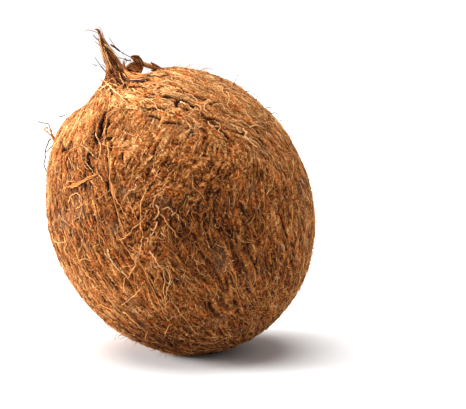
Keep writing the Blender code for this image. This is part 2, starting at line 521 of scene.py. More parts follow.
def gashShare(place, direction):
    # 1 in the gashes, which are where a noise smeared along the lie is high, and more of them where
    # a broad noise is
    smeared = streaks(place, direction, coatRelief["gash"][0], 17, 4)
    size, weight = coatRelief["gashPatches"]
    return ramp(smeared + weight * latticeNoise(place / size, 19), *coatRelief["gashOpens"])


def coatHeight(polar, azimuth):
    # how far the felt stands off the smooth shape, and its tone there: broad lumps, ribs and
    # threads along the lie, crumbs of pith, gashes where a smeared noise is high, and the lines of
    # the seam and the tears. What lies deep is painted dark as shade, raised lines are painted
    # paler as a highlight, and the zones add painted light and shade to the coat's own tone.
    place = smoothShape(polar, azimuth)
    direction = layDirection(polar, azimuth, place)
    lumpSize, lumpHeight = coatRelief["lump"]
    ribSize, ribHeight = coatRelief["rib"]
    threadSize, threadHeight = coatRelief["thread"]
    pithSize, pithHeight = coatRelief["pith"]
    rib = streaks(place, direction, ribSize, 13)
    thread = streaks(place, direction, threadSize, 14)
    finePith = coatRelief["finePith"] * latticeNoise(place / (0.5 * pithSize), 15)
    pith = latticeNoise(place / pithSize, 12) + finePith
    pithy = pithiness(place)
    fade = 1 - coatRelief["underPith"] * pithy
    pith, rib, thread = pith * pithy, rib * fade, thread * fade
    gash = gashShare(place, direction)
    depth = lineDepth(place, coatLines)
    height = lumpHeight * latticeNoise(place / lumpSize, 11)
    height = height + ribHeight * rib + threadHeight * thread + pithHeight * pith
    height = height - coatRelief["gash"][1] * gash - depth - lineDepth(place, coatSwells)
    # the coat's own tone with zones that are partly its own and partly painted light and shade,
    # then painted shade in the gashes and ditches and a painted highlight on raised lines
    tone = coatTone["middle"] + zoneTone(place, toneAndShadeZones) + coatTone["rib"] * rib
    tone = tone + coatTone["thread"] * thread + coatTone["pith"] * pith
    lineShadeAndHighlight = np.where(depth > 0, coatTone["ditchShade"], coatTone["raised"]) * depth
    tone = tone - coatTone["gash"] * gash - lineShadeAndHighlight
    return height, np.clip(tone, 0, 1)


def coatPoint(polar, azimuth, height):
    # a world place that stands this high on the felt, the world normal there and the felt's tone;
    # nothing goes under the floor
    normal = shapeNormal(polar, azimuth)
    felted, tone = coatHeight(polar, azimuth)
    lift = felted + height - nut["coatInset"]
    place = toWorld(smoothShape(polar, azimuth) + normal * lift[..., None])
    place[..., 2] = np.maximum(place[..., 2], nut["floorGap"])
    return place, normal @ leanTurn.T, tone


# meshes
chartName = "OFBake"


def newMesh(name, points, corners, starts, totals, cornerUv, material):
    # flat arrays: each face is a run of corners, and each corner has its place on the chart
    mesh = bpy.data.meshes.new(name)
    mesh.vertices.add(len(points))
    mesh.vertices.foreach_set("co", points.astype(np.float32).ravel())
    mesh.loops.add(len(corners))
    mesh.loops.foreach_set("vertex_index", corners.astype(np.int32))
    mesh.polygons.add(len(starts))
    mesh.polygons.foreach_set("loop_start", starts.astype(np.int32))
    mesh.polygons.foreach_set("loop_total", totals.astype(np.int32))
    mesh.update(calc_edges=True)
    layer = mesh.uv_layers.new(name=chartName)
    layer.data.foreach_set("uv", cornerUv.astype(np.float32).ravel())
    mesh.validate()
    mesh.shade_smooth()
    mesh.materials.append(material)
    thing = bpy.data.objects.new(name, mesh)
    bpy.context.collection.objects.link(thing)
    return thing


def gridQuads(row, column, total, around):
    # the faces between neighbours of a grid that closes on itself both ways
    under, following = (row + 1) % total, (column + 1) % around
    return np.stack([
        row * around + column,
        under * around + column,
        under * around + following,
        row * around + following,
    ], axis=-1).reshape(-1, 4)


def gridCharts(row, column):
    # the chart's places of each face's corners, one step across and one down
    corners = [(column, row + 1), (column, row + 2), (column + 1, row + 2), (column + 1, row + 1)]
    return np.stack([np.stack(pair, -1) for pair in corners], axis=2).reshape(-1, 2)


def faceStarts(totals):
    # where each face's run of corners begins
    return np.concatenate([[0], np.cumsum(totals)[:-1]])


def pointValues(thing, label, values):
    # one number per point, for the material to read
    layer = thing.data.attributes.new(label, "FLOAT", "POINT")
    layer.data.foreach_set("value", values.astype(np.float32))


strandLanes = 8  # the strands' colour chart has this many lanes of different hue
chartWidth = 0.004  # of the chart that one strand's round covers
laneMargin = 0.04  # of a lane, left free at both ends


def strandPiece(name, strands, material):
    # each strand is a triangle carried along its path and drawn to a point at both ends
    paths, ups, radii = strands["paths"], strands["ups"], strands["radii"]
    count, knots = paths.shape[:2]
    heading = unitRows(np.gradient(paths, axis=1))
    side = unitRows(np.cross(heading, ups))
    over = np.cross(side, heading)
    turns = np.radians([90.0, 210.0, 330.0])
    spokes = (
        np.cos(turns)[:, None] * side[:, 1:-1, None, :]
        + np.sin(turns)[:, None] * over[:, 1:-1, None, :]
    )
    rings = paths[:, 1:-1, None, :] + radii[:, 1:-1, None, None] * spokes
    points = np.concatenate([paths[:, :1], rings.reshape(count, -1, 3), paths[:, -1:]], axis=1)
    points[..., 2] = np.maximum(points[..., 2], 0)  # nothing goes under the floor
    rows = knots - 2
    index, turned, knot, totals = [], [], [], []
    for corner in range(3):
        following = (corner + 1) % 3
        index += [0, 1 + corner, 1 + following]
        turned += [corner + 0.5, corner, corner + 1]
        knot += [0, 1, 1]
        totals.append(3)
        for row in range(rows - 1):
            near, far = 1 + 3 * row, 4 + 3 * row
            index += [near + corner, far + corner, far + following, near + following]
            turned += [corner, corner, corner + 1, corner + 1]
            knot += [row + 1, row + 2, row + 2, row + 1]
            totals.append(4)
        last = 1 + 3 * (rows - 1)
        index += [last + following, last + corner, last + 3]
        turned += [corner + 1, corner, corner + 0.5]
        knot += [rows, rows, rows + 1]
        totals.append(3)
    perStrand = 2 + 3 * rows
    corners = np.array(index)[None, :] + perStrand * np.arange(count)[:, None]
    totals = np.tile(totals, count)
    tone = strands["tones"][:, None] * (1 - chartWidth) + chartWidth * np.array(turned) / 3
    along = laneMargin + (1 - 2 * laneMargin) * np.array(knot) / (knots - 1)
    lane = (strands["lanes"][:, None] + along[None, :]) / strandLanes
    cornerUv = np.stack([tone, np.broadcast_to(lane, tone.shape)], axis=-1)
    points, starts = points.reshape(-1, 3), faceStarts(totals)
    return newMesh(name, points, corners.ravel(), starts, totals, cornerUv, material)


def joined(parts):
    # the strands of several sets as one set
    return {key: np.concatenate([part[key] for part in parts]) for key in parts[0]}


def chosen(strands, which):
    # the picked strands of a set
    return {key: value[which] for key, value in strands.items()}


# materials
def linked(tree, socket, value):
    # another node's output goes in by a link, and a plain value is set
    if isinstance(value, bpy.types.NodeSocket):
        tree.links.new(value, socket)
    else:
        socket.default_value = value


def mathNode(tree, operation, first, second=0.0, third=0.0):
    # one step of arithmetic
    node = tree.nodes.new("ShaderNodeMath")
    node.operation = operation
    for socket, value in zip(node.inputs, (first, second, third)):
        linked(tree, socket, value)
    return node.outputs[0]


def rampNode(tree, factor, stops):
    # a colour read off between stops
    node = tree.nodes.new("ShaderNodeValToRGB")
    elements = node.color_ramp.elements
    while len(elements) < len(stops):
        elements.new(0.5)
    for element, (position, colour) in zip(elements, stops):
        element.position = position
        element.color = (*colour, 1.0)
    linked(tree, node.inputs["Fac"], factor)
    return node.outputs["Color"]


def mixNode(tree, factor, first, second, blend="MIX"):
    # two colours mixed by a factor
    node = tree.nodes.new("ShaderNodeMix")
    node.data_type = "RGBA"
    node.blend_type = blend
    linked(tree, node.inputs["Factor"], factor)
    linked(tree, node.inputs["A"], first)
    linked(tree, node.inputs["B"], second)
    return node.outputs["Result"]


def noiseNode(tree, vector, scale, detail=3.0):
    # a fractal noise of this many features to the metre, or to the unit of a chart
    node = tree.nodes.new("ShaderNodeTexNoise")
    node.inputs["Scale"].default_value = scale
    node.inputs["Detail"].default_value = detail
    linked(tree, node.inputs["Vector"], vector)
    return node.outputs["Fac"]


def newGroup(name, inputs, outputs):
    # a node group with its named sockets, and the two ends of it
    tree = bpy.data.node_groups.new(name, "ShaderNodeTree")
    for label, kind, value in inputs:
        socket = tree.interface.new_socket(label, in_out="INPUT", socket_type=kind)
        socket.default_value = value
    for label, kind in outputs:
        tree.interface.new_socket(label, in_out="OUTPUT", socket_type=kind)
    return tree, tree.nodes.new("NodeGroupInput").outputs, tree.nodes.new("NodeGroupOutput").inputs


def greyNode(tree, value):
    # the same value in all three channels
    grey = tree.nodes.new("ShaderNodeCombineColor")
    for socket in grey.inputs:
        linked(tree, socket, value)
    return grey.outputs[0]


# the fibre's tones, the casts that its hue gives them, and what its flecks do: times the fleck,
# plus
coirStops = [
    (0.00, (0.012, 0.003, 0.001)),
    (0.20, (0.085, 0.025, 0.006)),
    (0.42, (0.290, 0.089, 0.017)),
    (0.62, (0.520, 0.202, 0.053)),
    (0.82, (0.800, 0.430, 0.163)),
    (1.00, (0.920, 0.660, 0.360)),
]


coirCasts = [
    (0.0, (1.00, 0.66, 0.45)),
    (0.3, (1.00, 0.92, 0.80)),
    (0.6, (1.00, 1.00, 1.00)),
    (0.8, (0.98, 0.98, 1.00)),
    (1.0, (0.92, 1.05, 0.80)),
]
coirFlecks = {"shade": (1.5, 0.25), "roughness": (-0.25, 0.92)}


def coirGroup():
    # the colour of one dried fibre: a tone from dark to straw, times a hue of its own, times fine
    # flecks
    tree, given, put = newGroup(
        "coirColour",
        [
            ("Tone", "NodeSocketFloat", 0.5),
            ("Hue", "NodeSocketFloat", 0.5),
            ("Fleck", "NodeSocketFloat", 0.5),
            ("Bright", "NodeSocketFloat", 1.0),
        ],
        [("Color", "NodeSocketColor"), ("Roughness", "NodeSocketFloat")],
    )
    colour = rampNode(tree, given["Tone"], coirStops)
    colour = mixNode(tree, 1.0, colour, rampNode(tree, given["Hue"], coirCasts), "MULTIPLY")
    shade = mathNode(tree, "MULTIPLY_ADD", given["Fleck"], *coirFlecks["shade"])
    shade = mathNode(tree, "MULTIPLY", shade, given["Bright"])
    colour = mixNode(tree, 1.0, colour, greyNode(tree, shade), "MULTIPLY")
    linked(tree, put["Color"], colour)
    rough = mathNode(tree, "MULTIPLY_ADD", given["Fleck"], *coirFlecks["roughness"])
    linked(tree, put["Roughness"], rough)
    return tree


def newMaterial(name, specular):
    # a plain shader of this specular level
    material = bpy.data.materials.new(name)
    material.use_nodes = True
    shader = material.node_tree.nodes["Principled BSDF"]
    shader.inputs["Specular IOR Level"].default_value = specular
    return material, material.node_tree, shader


def chartNode(tree):
    # the piece's own chart
    chart = tree.nodes.new("ShaderNodeUVMap")
    chart.uv_map = chartName
    return chart.outputs["UV"]


def valueNode(tree, label):
    # a number that each point of the piece carries
    node = tree.nodes.new("ShaderNodeAttribute")
    node.attribute_name = label
    return node.outputs["Fac"]


def placedColour(tree, shader, colourGroup, tone, hue, fleck, bright=1.0):
    # the fibre colour group with its inputs; its roughness goes to the shader and its colour comes
    # back
    group = tree.nodes.new("ShaderNodeGroup")
    group.node_tree = colourGroup
    values = {"Tone": tone, "Hue": hue, "Fleck": fleck, "Bright": bright}
    for label, value in values.items():
        linked(tree, group.inputs[label], value)
    linked(tree, shader.inputs["Roughness"], group.outputs["Roughness"])
    return group.outputs["Color"]


def bumped(tree, shader, height, distance):
    # the shader's normal bent by a height
    bump = tree.nodes.new("ShaderNodeBump")
    bump.inputs["Distance"].default_value = distance
    linked(tree, bump.inputs["Height"], height)
    linked(tree, shader.inputs["Normal"], bump.outputs[0])


strandLook = {
    "specular": 0.2,
    "fleckAcross": 90.0,  # from tone to tone
    "fleckAlong": 5.0,  # features from end to end
    "fleckLane": 7.3,
}


def strandMaterial(name, colourGroup, bright):
    # the strands' chart: tone across, and eight lanes of hue with the length of the strand in each
    look = strandLook
    material, tree, shader = newMaterial(name, look["specular"])
    parts = tree.nodes.new("ShaderNodeSeparateXYZ")
    linked(tree, parts.inputs[0], chartNode(tree))
    tone, lanes = parts.outputs[0], mathNode(tree, "MULTIPLY", parts.outputs[1], strandLanes)
    lane, along = mathNode(tree, "FLOOR", lanes), mathNode(tree, "FRACT", lanes)
    spread = tree.nodes.new("ShaderNodeCombineXYZ")
    scales = (tone, "fleckAcross"), (along, "fleckAlong"), (lane, "fleckLane")
    for socket, (value, scale) in zip(spread.inputs, scales):
        linked(tree, socket, mathNode(tree, "MULTIPLY", value, look[scale]))
    hue = mathNode(tree, "DIVIDE", mathNode(tree, "ADD", lane, 0.5), strandLanes)
    fleck = noiseNode(tree, spread.outputs[0], 1.0, 2.0)
    colour = placedColour(tree, shader, colourGroup, tone, hue, fleck, bright)
    linked(tree, shader.inputs["Base Color"], colour)
    return material


feltLook = {
    "specular": 0.1,
    "grain": 1500.0,  # features to the metre
    "grainTone": (0.80, -0.44),  # times the grain, plus
    "patch": 260.0,
    "patchHue": (2.2, -0.75),
    "bareTone": -0.05,
    "bareCover": 0.5,
    "skin": [(0.3, (0.120, 0.058, 0.026)), (0.7, (0.340, 0.200, 0.105))],
    "bump": 0.0004,
}


def feltMaterial(colourGroup):
    # the felt under the fibres: its tone comes with the relief and carries its painted shade and
    # highlight and the zones' painted light and shade, with a pithy grain over it, and bare patches
    # where the skin shows
    look = feltLook
    material, tree, shader = newMaterial("coirFelt", look["specular"])
    bare = valueNode(tree, "bare")
    coordinates = tree.nodes.new("ShaderNodeTexCoord").outputs["Object"]
    grain = noiseNode(tree, coordinates, look["grain"])
    patch = noiseNode(tree, coordinates, look["patch"])
    level = mathNode(tree, "MULTIPLY_ADD", grain, *look["grainTone"])
    level = mathNode(tree, "ADD", level, valueNode(tree, "tone"))
    level = mathNode(tree, "MULTIPLY_ADD", bare, look["bareTone"], level)
    hue = mathNode(tree, "MULTIPLY_ADD", patch, *look["patchHue"])
    colour = placedColour(tree, shader, colourGroup, level, hue, grain)
    cover = mathNode(tree, "MULTIPLY", bare, look["bareCover"])
    colour = mixNode(tree, cover, colour, rampNode(tree, grain, look["skin"]))
    linked(tree, shader.inputs["Base Color"], colour)
    bumped(tree, shader, grain, look["bump"])
    return material


rollLook = {
    "specular": 0.2,
    "fibre": (420.0, 9.0, 1.0),  # features across and along the chart
    "fibreTone": (0.70, -0.35),  # times the fibre noise, plus
    "patch": 420.0,  # features to the metre
    "patchHue": (1.6, -0.55),
    "bump": 0.0002,
}


def rollMaterial(colourGroup):
    # matted fibre of the tuft: the tone comes with the flutes, and a noise drawn out along the
    # roll's own chart adds single fibres
    look = rollLook
    material, tree, shader = newMaterial("coirRoll", look["specular"])
    stretch = tree.nodes.new("ShaderNodeMapping")
    stretch.inputs["Scale"].default_value = look["fibre"]
    linked(tree, stretch.inputs["Vector"], chartNode(tree))
    fibre = noiseNode(tree, stretch.outputs[0], 1.0, 2.0)
    coordinates = tree.nodes.new("ShaderNodeTexCoord").outputs["Object"]
    patch = noiseNode(tree, coordinates, look["patch"], 2.0)
    level = mathNode(tree, "MULTIPLY_ADD", fibre, *look["fibreTone"])
    level = mathNode(tree, "ADD", level, valueNode(tree, "tone"))
    hue = mathNode(tree, "MULTIPLY_ADD", patch, *look["patchHue"])
    colour = placedColour(tree, shader, colourGroup, level, hue, fibre)
    linked(tree, shader.inputs["Base Color"], colour)
    bumped(tree, shader, fibre, look["bump"])
    return material


strandBright = {"coirMat": 1.0, "coirLoose": 1.22, "coirTuft": 0.9}

coirColour = coirGroup()
feltFinish = feltMaterial(coirColour)
matFinish, looseFinish, tuftFinish = [
    strandMaterial(name, coirColour, bright) for name, bright in strandBright.items()
]
rollFinish = rollMaterial(coirColour)
print("materials made")


# the felted coat
felt = {
    "around": 840,
    "rows": 110,  # down each band
    "bands": (0, 45, 90, 135, 180),  # polar angles where one band meets the next
    "innerRows": 5,
    "wall": 0.0055,
    "poleTone": 0.4,
}
bareSkin = {
    "patchSize": 0.011,
    "patchOpens": (0.45, 0.75),
    "patch": 0.6,
    "worn": 0.4,  # one rubbed place, at this polar angle and azimuth
    "wornPolar": (math.radians(62), 0.25),
    "wornAzimuth": (math.radians(-44), 0.30),
    "wornGrain": 0.005,
}


def bareness(polar, azimuth):
    # 1 where the fibres have worn away and the skin under them shows: patches of noise, and one
    # rubbed place
    skin, place = bareSkin, smoothShape(polar, azimuth)
    patch = skin["patch"] * ramp(latticeNoise(place / skin["patchSize"], 21), *skin["patchOpens"])
    middle, reach = skin["wornPolar"]
    side, breadth = skin["wornAzimuth"]
    worn = bell(polar - middle, reach) * bell(wrapped(azimuth - side), breadth)
    grain = ramp(latticeNoise(place / skin["wornGrain"], 22), -0.1, 0.4)
    return np.clip(patch + skin["worn"] * worn * grain, 0, 1)


def innerPoint(polar, azimuth):
    # the inside of the felt, a wall's thickness under the smooth shape
    place = smoothShape(polar, azimuth) - shapeNormal(polar, azimuth) * felt["wall"]
    return toWorld(place)


def feltBand(values, number, material):
    # a ring of felt between two polar angles, closed by its inner wall: rows of equal azimuth
    # steps go down the outside and back up the inside, and a band that ends at a pole has one
    # point there outside and one inside
    around, rows, bands = values["around"], values["rows"], values["bands"]
    top, bottom = np.radians(bands[number : number + 2])
    atTop, atBottom = number == 0, number == len(bands) - 2
    outer = np.linspace(top, bottom, rows + 1)
    inner = np.linspace(bottom, top, values["innerRows"] + 1)
    azimuth = np.linspace(-math.pi, math.pi, around + 1)[:-1]
    if atTop:
        outer, inner = outer[1:], inner[:-1]
    if atBottom:
        outer, inner = outer[:-1], inner[1:]
    ring, turn = np.meshgrid(outer, azimuth, indexing="ij")
    innerRing, innerTurn = np.meshgrid(inner, azimuth, indexing="ij")
    body, tones = coatPoint(ring, turn, np.zeros(ring.shape))[::2]
    parts = [body, innerPoint(innerRing, innerTurn)]
    flatTones = [tones, np.zeros(innerRing.shape)]
    bare = [bareness(ring, turn), np.zeros(innerRing.shape)]
    if atBottom:
        parts, flatTones, bare = parts[::-1], flatTones[::-1], bare[::-1]
    points = np.concatenate(parts).reshape(-1, 3)
    total = len(outer) + len(inner)
    cyclic = not (atTop or atBottom)
    steps, here = np.arange(total if cyclic else total - 1), np.arange(around)
    row, column = np.meshgrid(steps, here, indexing="ij")
    quads = gridQuads(row, column, total, around)
    corners, totals, uv = [quads.ravel()], [np.full(len(quads), 4)], [gridCharts(row, column)]
    if not cyclic:
        pole = np.array([1e-4 if atTop else math.pi - 1e-4])
        outside = coatPoint(pole, np.zeros(1), np.zeros(1))[0]
        inside = innerPoint(pole, np.zeros(1))
        ends = [outside, inside] if atTop else [inside, outside]
        first, last = len(points), len(points) + 1
        points = np.concatenate([points, *ends])
        after = (here + 1) % around
        lastRow = (total - 1) * around
        none = 0 * here
        caps = [none + first, here, after, none + last, lastRow + after, lastRow + here]
        capUv = [
            here + 0.5, none, here, none + 1, here + 1, none + 1,
            here + 0.5, none + total + 1, here + 1, none + total, here, none + total,
        ]
        corners.append(np.stack(caps, -1).ravel())
        totals.append(np.full(2 * around, 3))
        uv.append(np.stack(capUv, -1).reshape(-1, 2))
    corners, totals = np.concatenate(corners), np.concatenate(totals)
    uv, starts = np.concatenate(uv) / [around, total + 1], faceStarts(totals)
    thing = newMesh(f"coirFelt{number + 1}", points, corners, starts, totals, uv, material)
    for label, parts in (("tone", flatTones), ("bare", bare)):
        spread = np.concatenate(parts).ravel()
        atPole = np.full(len(points) - len(spread), values["poleTone"])
        pointValues(thing, label, np.concatenate([spread, atPole]))
    # the rim is sharp, so that the side wall doesn't darken the outside next to it
    ends = np.empty(2 * len(thing.data.edges), dtype=np.int32)
    thing.data.edges.foreach_get("vertices", ends)
    rows = ends.reshape(-1, 2) // around
    outerStart = len(inner) if atBottom else 0
    rims = np.isin(rows, [outerStart, outerStart + len(outer) - 1]) & (rows[:, :1] == rows[:, 1:])
    thing.data.edges.foreach_set("use_edge_sharp", rims.all(axis=1))
    return thing


feltPieces = [feltBand(felt, number, feltFinish) for number in range(len(felt["bands"]) - 1)]
print("felt coat made")


# strands that lie on the coat
def carriedPaths(start, angle, length, turn, knots):
    # walks over the ellipsoid in equal steps: each step goes on along the tangent, drops back on
    # to the surface, and turns a little about the normal
    normal, down, right = surfaceTangents(*anglesOf(start))
    heading = np.cos(angle)[:, None] * down + np.sin(angle)[:, None] * right
    points = [start]
    step = (length / (knots - 1))[:, None]
    for knot in range(knots - 1):
        place = points[-1] + heading * step
        place = unitRows(place / semiAxes) * semiAxes
        normal = unitRows(place / semiAxes**2)
        heading = unitRows(heading - (heading * normal).sum(-1, keepdims=True) * normal)
        bend = turn[:, knot : knot + 1]
        heading = heading * np.cos(bend) + np.cross(normal, heading) * np.sin(bend)
        points.append(place)
    return np.stack(points, axis=1)


def scattered(rng, count):
    # places even over the sphere, then stretched to the ellipsoid
    return unitRows(rng.normal(size=(count, 3))) * semiAxes


feltShare = 0.75  # how far a strand takes on the tone of the felt under it


def laidStrands(polar, azimuth, heights, radii, tones, lanes):
    # strands at these heights on the felt, each with its own tone shifted by the felt's, painted
    # light and shade included
    paths, ups, feltTones = coatPoint(polar, azimuth, heights)
    tones = np.clip(tones + feltShare * (feltTones.mean(axis=1) - 0.5), 0.02, 0.92)
    return {"paths": paths, "ups": ups, "radii": radii, "tones": tones, "lanes": lanes}


mat = {
    "clumps": 10800,
    "strands": 3,  # in each clump
    "knots": 6,
    "length": (0.0026, 0.0080),
    "radius": (0.00007, 0.00016),
    "spreadAcross": 0.0005,
    "spreadAlong": 0.0015,
    "clumpTurn": 0.30,  # how far a clump strays from the lie, in radians
    "strandTurn": 0.18,
    "crinkle": 0.15,
    "height": (-0.00010, 0.00034),
    "sunk": 0.00035,  # the ends go into the felt
    "tone": 0.58,
    "toneClump": 0.05,
    "toneStrand": 0.25,
    "onPith": False,
}
pith = {
    "clumps": 26000,
    "strands": 1,
    "knots": 4,
    "length": (0.0006, 0.0020),
    "radius": (0.00010, 0.00024),
    "spreadAcross": 0.0005,
    "spreadAlong": 0.0015,
    "clumpTurn": 0.75,
    "strandTurn": 0.3,
    "crinkle": 0.40,
    "height": (0.00005, 0.00050),
    "sunk": 0.00030,
    "tone": 0.56,
    "toneClump": 0.0,
    "toneStrand": 0.28,
    "onPith": True,  # grows where the pith is
}
growth = {  # what the mat and the pith share
    "lengthSpread": (0.6, 1.3),
    "bend": 0.08,  # a steady turn from step to step, in radians
    "waver": 0.00008,
    "thinEnds": 0.3,
    "ownHue": 0.4,  # how many have another hue than their clump
    "bareClear": 0.70,  # how many are missing where the skin is bare
    "gashClear": 0.9,  # and over a gash
    "pithClear": 0.55,  # and under pith
    "lineClear": 0.00035,  # none grow over a line deeper than this
}


def matStrands(values, seed):
    # short fibres in small clumps of like lie, tone and hue, half sunk in the felt
    rng = np.random.default_rng(seed)
    middle = scattered(rng, values["clumps"])
    polar, azimuth = anglesOf(middle)
    clumpAngle = layAngle(polar, azimuth, smoothShape(polar, azimuth))
    clumpAngle = clumpAngle + rng.normal(0, values["clumpTurn"], len(middle))
    normal, down, right = surfaceTangents(polar, azimuth)
    clumpForward = np.cos(clumpAngle)[:, None] * down + np.sin(clumpAngle)[:, None] * right
    clumpTone = rng.normal(0, values["toneClump"], len(middle))
    clumpLength = rng.uniform(*values["length"], len(middle))
    clumpLane = rng.integers(0, strandLanes, len(middle))
    pick = np.repeat(np.arange(len(middle)), values["strands"])
    count = len(pick)
    forward = clumpForward[pick]
    sideways = np.cross(normal[pick], forward)
    length = clumpLength[pick] * rng.uniform(*growth["lengthSpread"], count)
    start = (
        middle[pick]
        + sideways * rng.normal(0, values["spreadAcross"], count)[:, None]
        + forward * (rng.normal(0, values["spreadAlong"], count) - length / 2)[:, None]
    )
    start = unitRows(start / semiAxes) * semiAxes
    # the heading is measured again from the meridian at the strand's own start
    down, right = surfaceTangents(*anglesOf(start))[1:]
    angle = np.arctan2((forward * right).sum(-1), (forward * down).sum(-1))
    angle = angle + rng.normal(0, values["strandTurn"], count)
    knots = values["knots"]
    turn = rng.normal(0, growth["bend"], (count, 1))
    turn = turn + rng.normal(0, values["crinkle"], (count, knots - 1))
    polar, azimuth = anglesOf(carriedPaths(start, angle, length, turn, knots))
    t = np.linspace(0, 1, knots)[None, :]
    arch = np.sin(math.pi * t) ** 0.5
    raised = rng.uniform(*values["height"], (count, 1))
    raised = raised + rng.normal(0, growth["waver"], (count, knots))
    heights = raised * arch - values["sunk"] * (1 - arch)
    radii = rng.uniform(*values["radius"], count)[:, None]
    radii = radii * (1 - growth["thinEnds"] + growth["thinEnds"] * arch)
    tones = values["tone"] + clumpTone[pick] + rng.normal(0, values["toneStrand"], count)
    midPolar, midAzimuth = polar[:, 2], azimuth[:, 2]
    keep = rng.random(count) > growth["bareClear"] * bareness(midPolar, midAzimuth)
    middle = smoothShape(midPolar, midAzimuth)
    for knot in range(1, knots - 1):
        place = smoothShape(polar[:, knot], azimuth[:, knot])
        keep &= lineDepth(place, coatLines) < growth["lineClear"]
    gash = gashShare(middle, layDirection(midPolar, midAzimuth, middle))
    keep &= rng.random(count) > growth["gashClear"] * gash
    pithy = pithiness(middle)
    keep &= rng.random(count) < (pithy if values["onPith"] else 1 - growth["pithClear"] * pithy)
    likeClump = rng.random(count) < 1 - growth["ownHue"]
    lanes = np.where(likeClump, clumpLane[pick], rng.integers(0, strandLanes, count))
    strands = laidStrands(polar, azimuth, heights, radii, tones, lanes)
    strands["sector"] = midAzimuth
    return chosen(strands, keep)


trianglesPerPiece = 198000


def strandPieces(name, strands, material):
    # sorted round the axis and shared out, so that no piece has too many triangles
    order = np.argsort(strands["sector"], kind="stable")
    perStrand = 6 * (strands["paths"].shape[1] - 2)
    share = math.ceil(len(order) / (trianglesPerPiece // perStrand))
    return [
        strandPiece(f"{name}{number + 1}", chosen(strands, part), material)
        for number, part in enumerate(np.array_split(order, share))
    ]


matPieces = strandPieces("coirMat", matStrands(mat, 5), matFinish)
matPieces += strandPieces("coirPith", matStrands(pith, 4), matFinish)
print("mat laid in", len(matPieces), "pieces")

# loose strands over the mat: long ones, short curled hairs, and the fuzz at the outline
loose = {
    "count": 720,
    "knots": 12,
    "length": (0.004, 0.016),
    "radius": (0.00010, 0.00019),
    "wander": 0.45,  # how far they stray from the lie, in radians
    "crinkle": 0.30,  # how much they turn at each knot
    "stand": 0.0009,  # how far the tips stand off
    "tone": 0.80,
}
curls = {
    "count": 2900,
    "knots": 7,
    "length": (0.0015, 0.0058),
    "radius": (0.00006, 0.00011),
    "wander": 0.9,
    "crinkle": 0.46,
    "stand": 0.0015,
    "tone": 0.78,
}
fuzz = {
    "count": 1300,
    "knots": 6,
    "length": (0.0020, 0.0064),
    "radius": (0.00008, 0.00013),
    "wander": 1.5,
    "crinkle": 0.32,
    "stand": 0.0048,
    "tone": 0.66,
}
looseLay = {  # what the three kinds share
    "patchSize": 0.017,
    "patchOpens": (-0.1, 0.6),
    "patchLeast": 0.25,
    "frontShare": 0.4,  # more of them on the front's middle
    "frontPolar": (math.radians(88), 0.45),
    "frontAzimuth": (0.05, 0.35),
    "shortness": 1.8,  # the higher, the more of them are short
    "bend": 0.08,  # a steady turn from step to step, in radians
    "base": 0.0004,
    "wave": 0.3,
    "waver": 0.00007,
    "taper": 0.45,
    "toneSpread": 0.08,
    "lanes": (1, 7),
    "lowest": math.radians(150),  # none start nearer to the floor
}


def looseStrands(values, seed):
    # long strands lie over the mat, bending slowly; short ones stand off it and curl. They come in
    # patches, where the coat has been rubbed up.
    rng, lay = np.random.default_rng(seed), looseLay
    count, knots = values["count"], values["knots"]
    start = scattered(rng, 3 * count)
    polar, azimuth = anglesOf(start)
    patches = ramp(latticeNoise(start / lay["patchSize"], 51), *lay["patchOpens"])
    (middle, reach), (side, breadth) = lay["frontPolar"], lay["frontAzimuth"]
    front = lay["frontShare"] * bell(polar - middle, reach) * bell(azimuth - side, breadth)
    patches = lay["patchLeast"] + patches + front
    start = start[np.argsort(rng.random(3 * count) / patches, kind="stable")[:count]]
    polar, azimuth = anglesOf(start)
    angle = layAngle(polar, azimuth, start) + rng.normal(0, values["wander"], count)
    shortest, longest = values["length"]
    length = shortest + (longest - shortest) * rng.uniform(0, 1, count) ** lay["shortness"]
    turn = rng.normal(0, lay["bend"], (count, 1))
    turn = turn + rng.normal(0, values["crinkle"], (count, knots - 1))
    polar, azimuth = anglesOf(carriedPaths(start, angle, length, turn, knots))
    t = np.linspace(0, 1, knots)[None, :]
    lift = rng.uniform(0.1, 1, (count, 1)) ** 2
    wave = np.sin(math.pi * t * rng.uniform(1, 4, (count, 1)) + rng.uniform(0, 3, (count, 1)))
    heights = lay["base"] + values["stand"] * lift * (t**1.5 + lay["wave"] * wave * t)
    heights = heights + rng.normal(0, lay["waver"], heights.shape)
    radii = rng.uniform(*values["radius"], count)[:, None] * (1 - lay["taper"] * t)
    tones = np.clip(rng.normal(values["tone"], lay["toneSpread"], count), 0.05, 0.97)
    lanes = rng.integers(*lay["lanes"], count)
    strands = laidStrands(polar, azimuth, heights, radii, tones, lanes)
    strands["sector"] = azimuth[:, 0]
    return chosen(strands, polar[:, 0] < lay["lowest"])
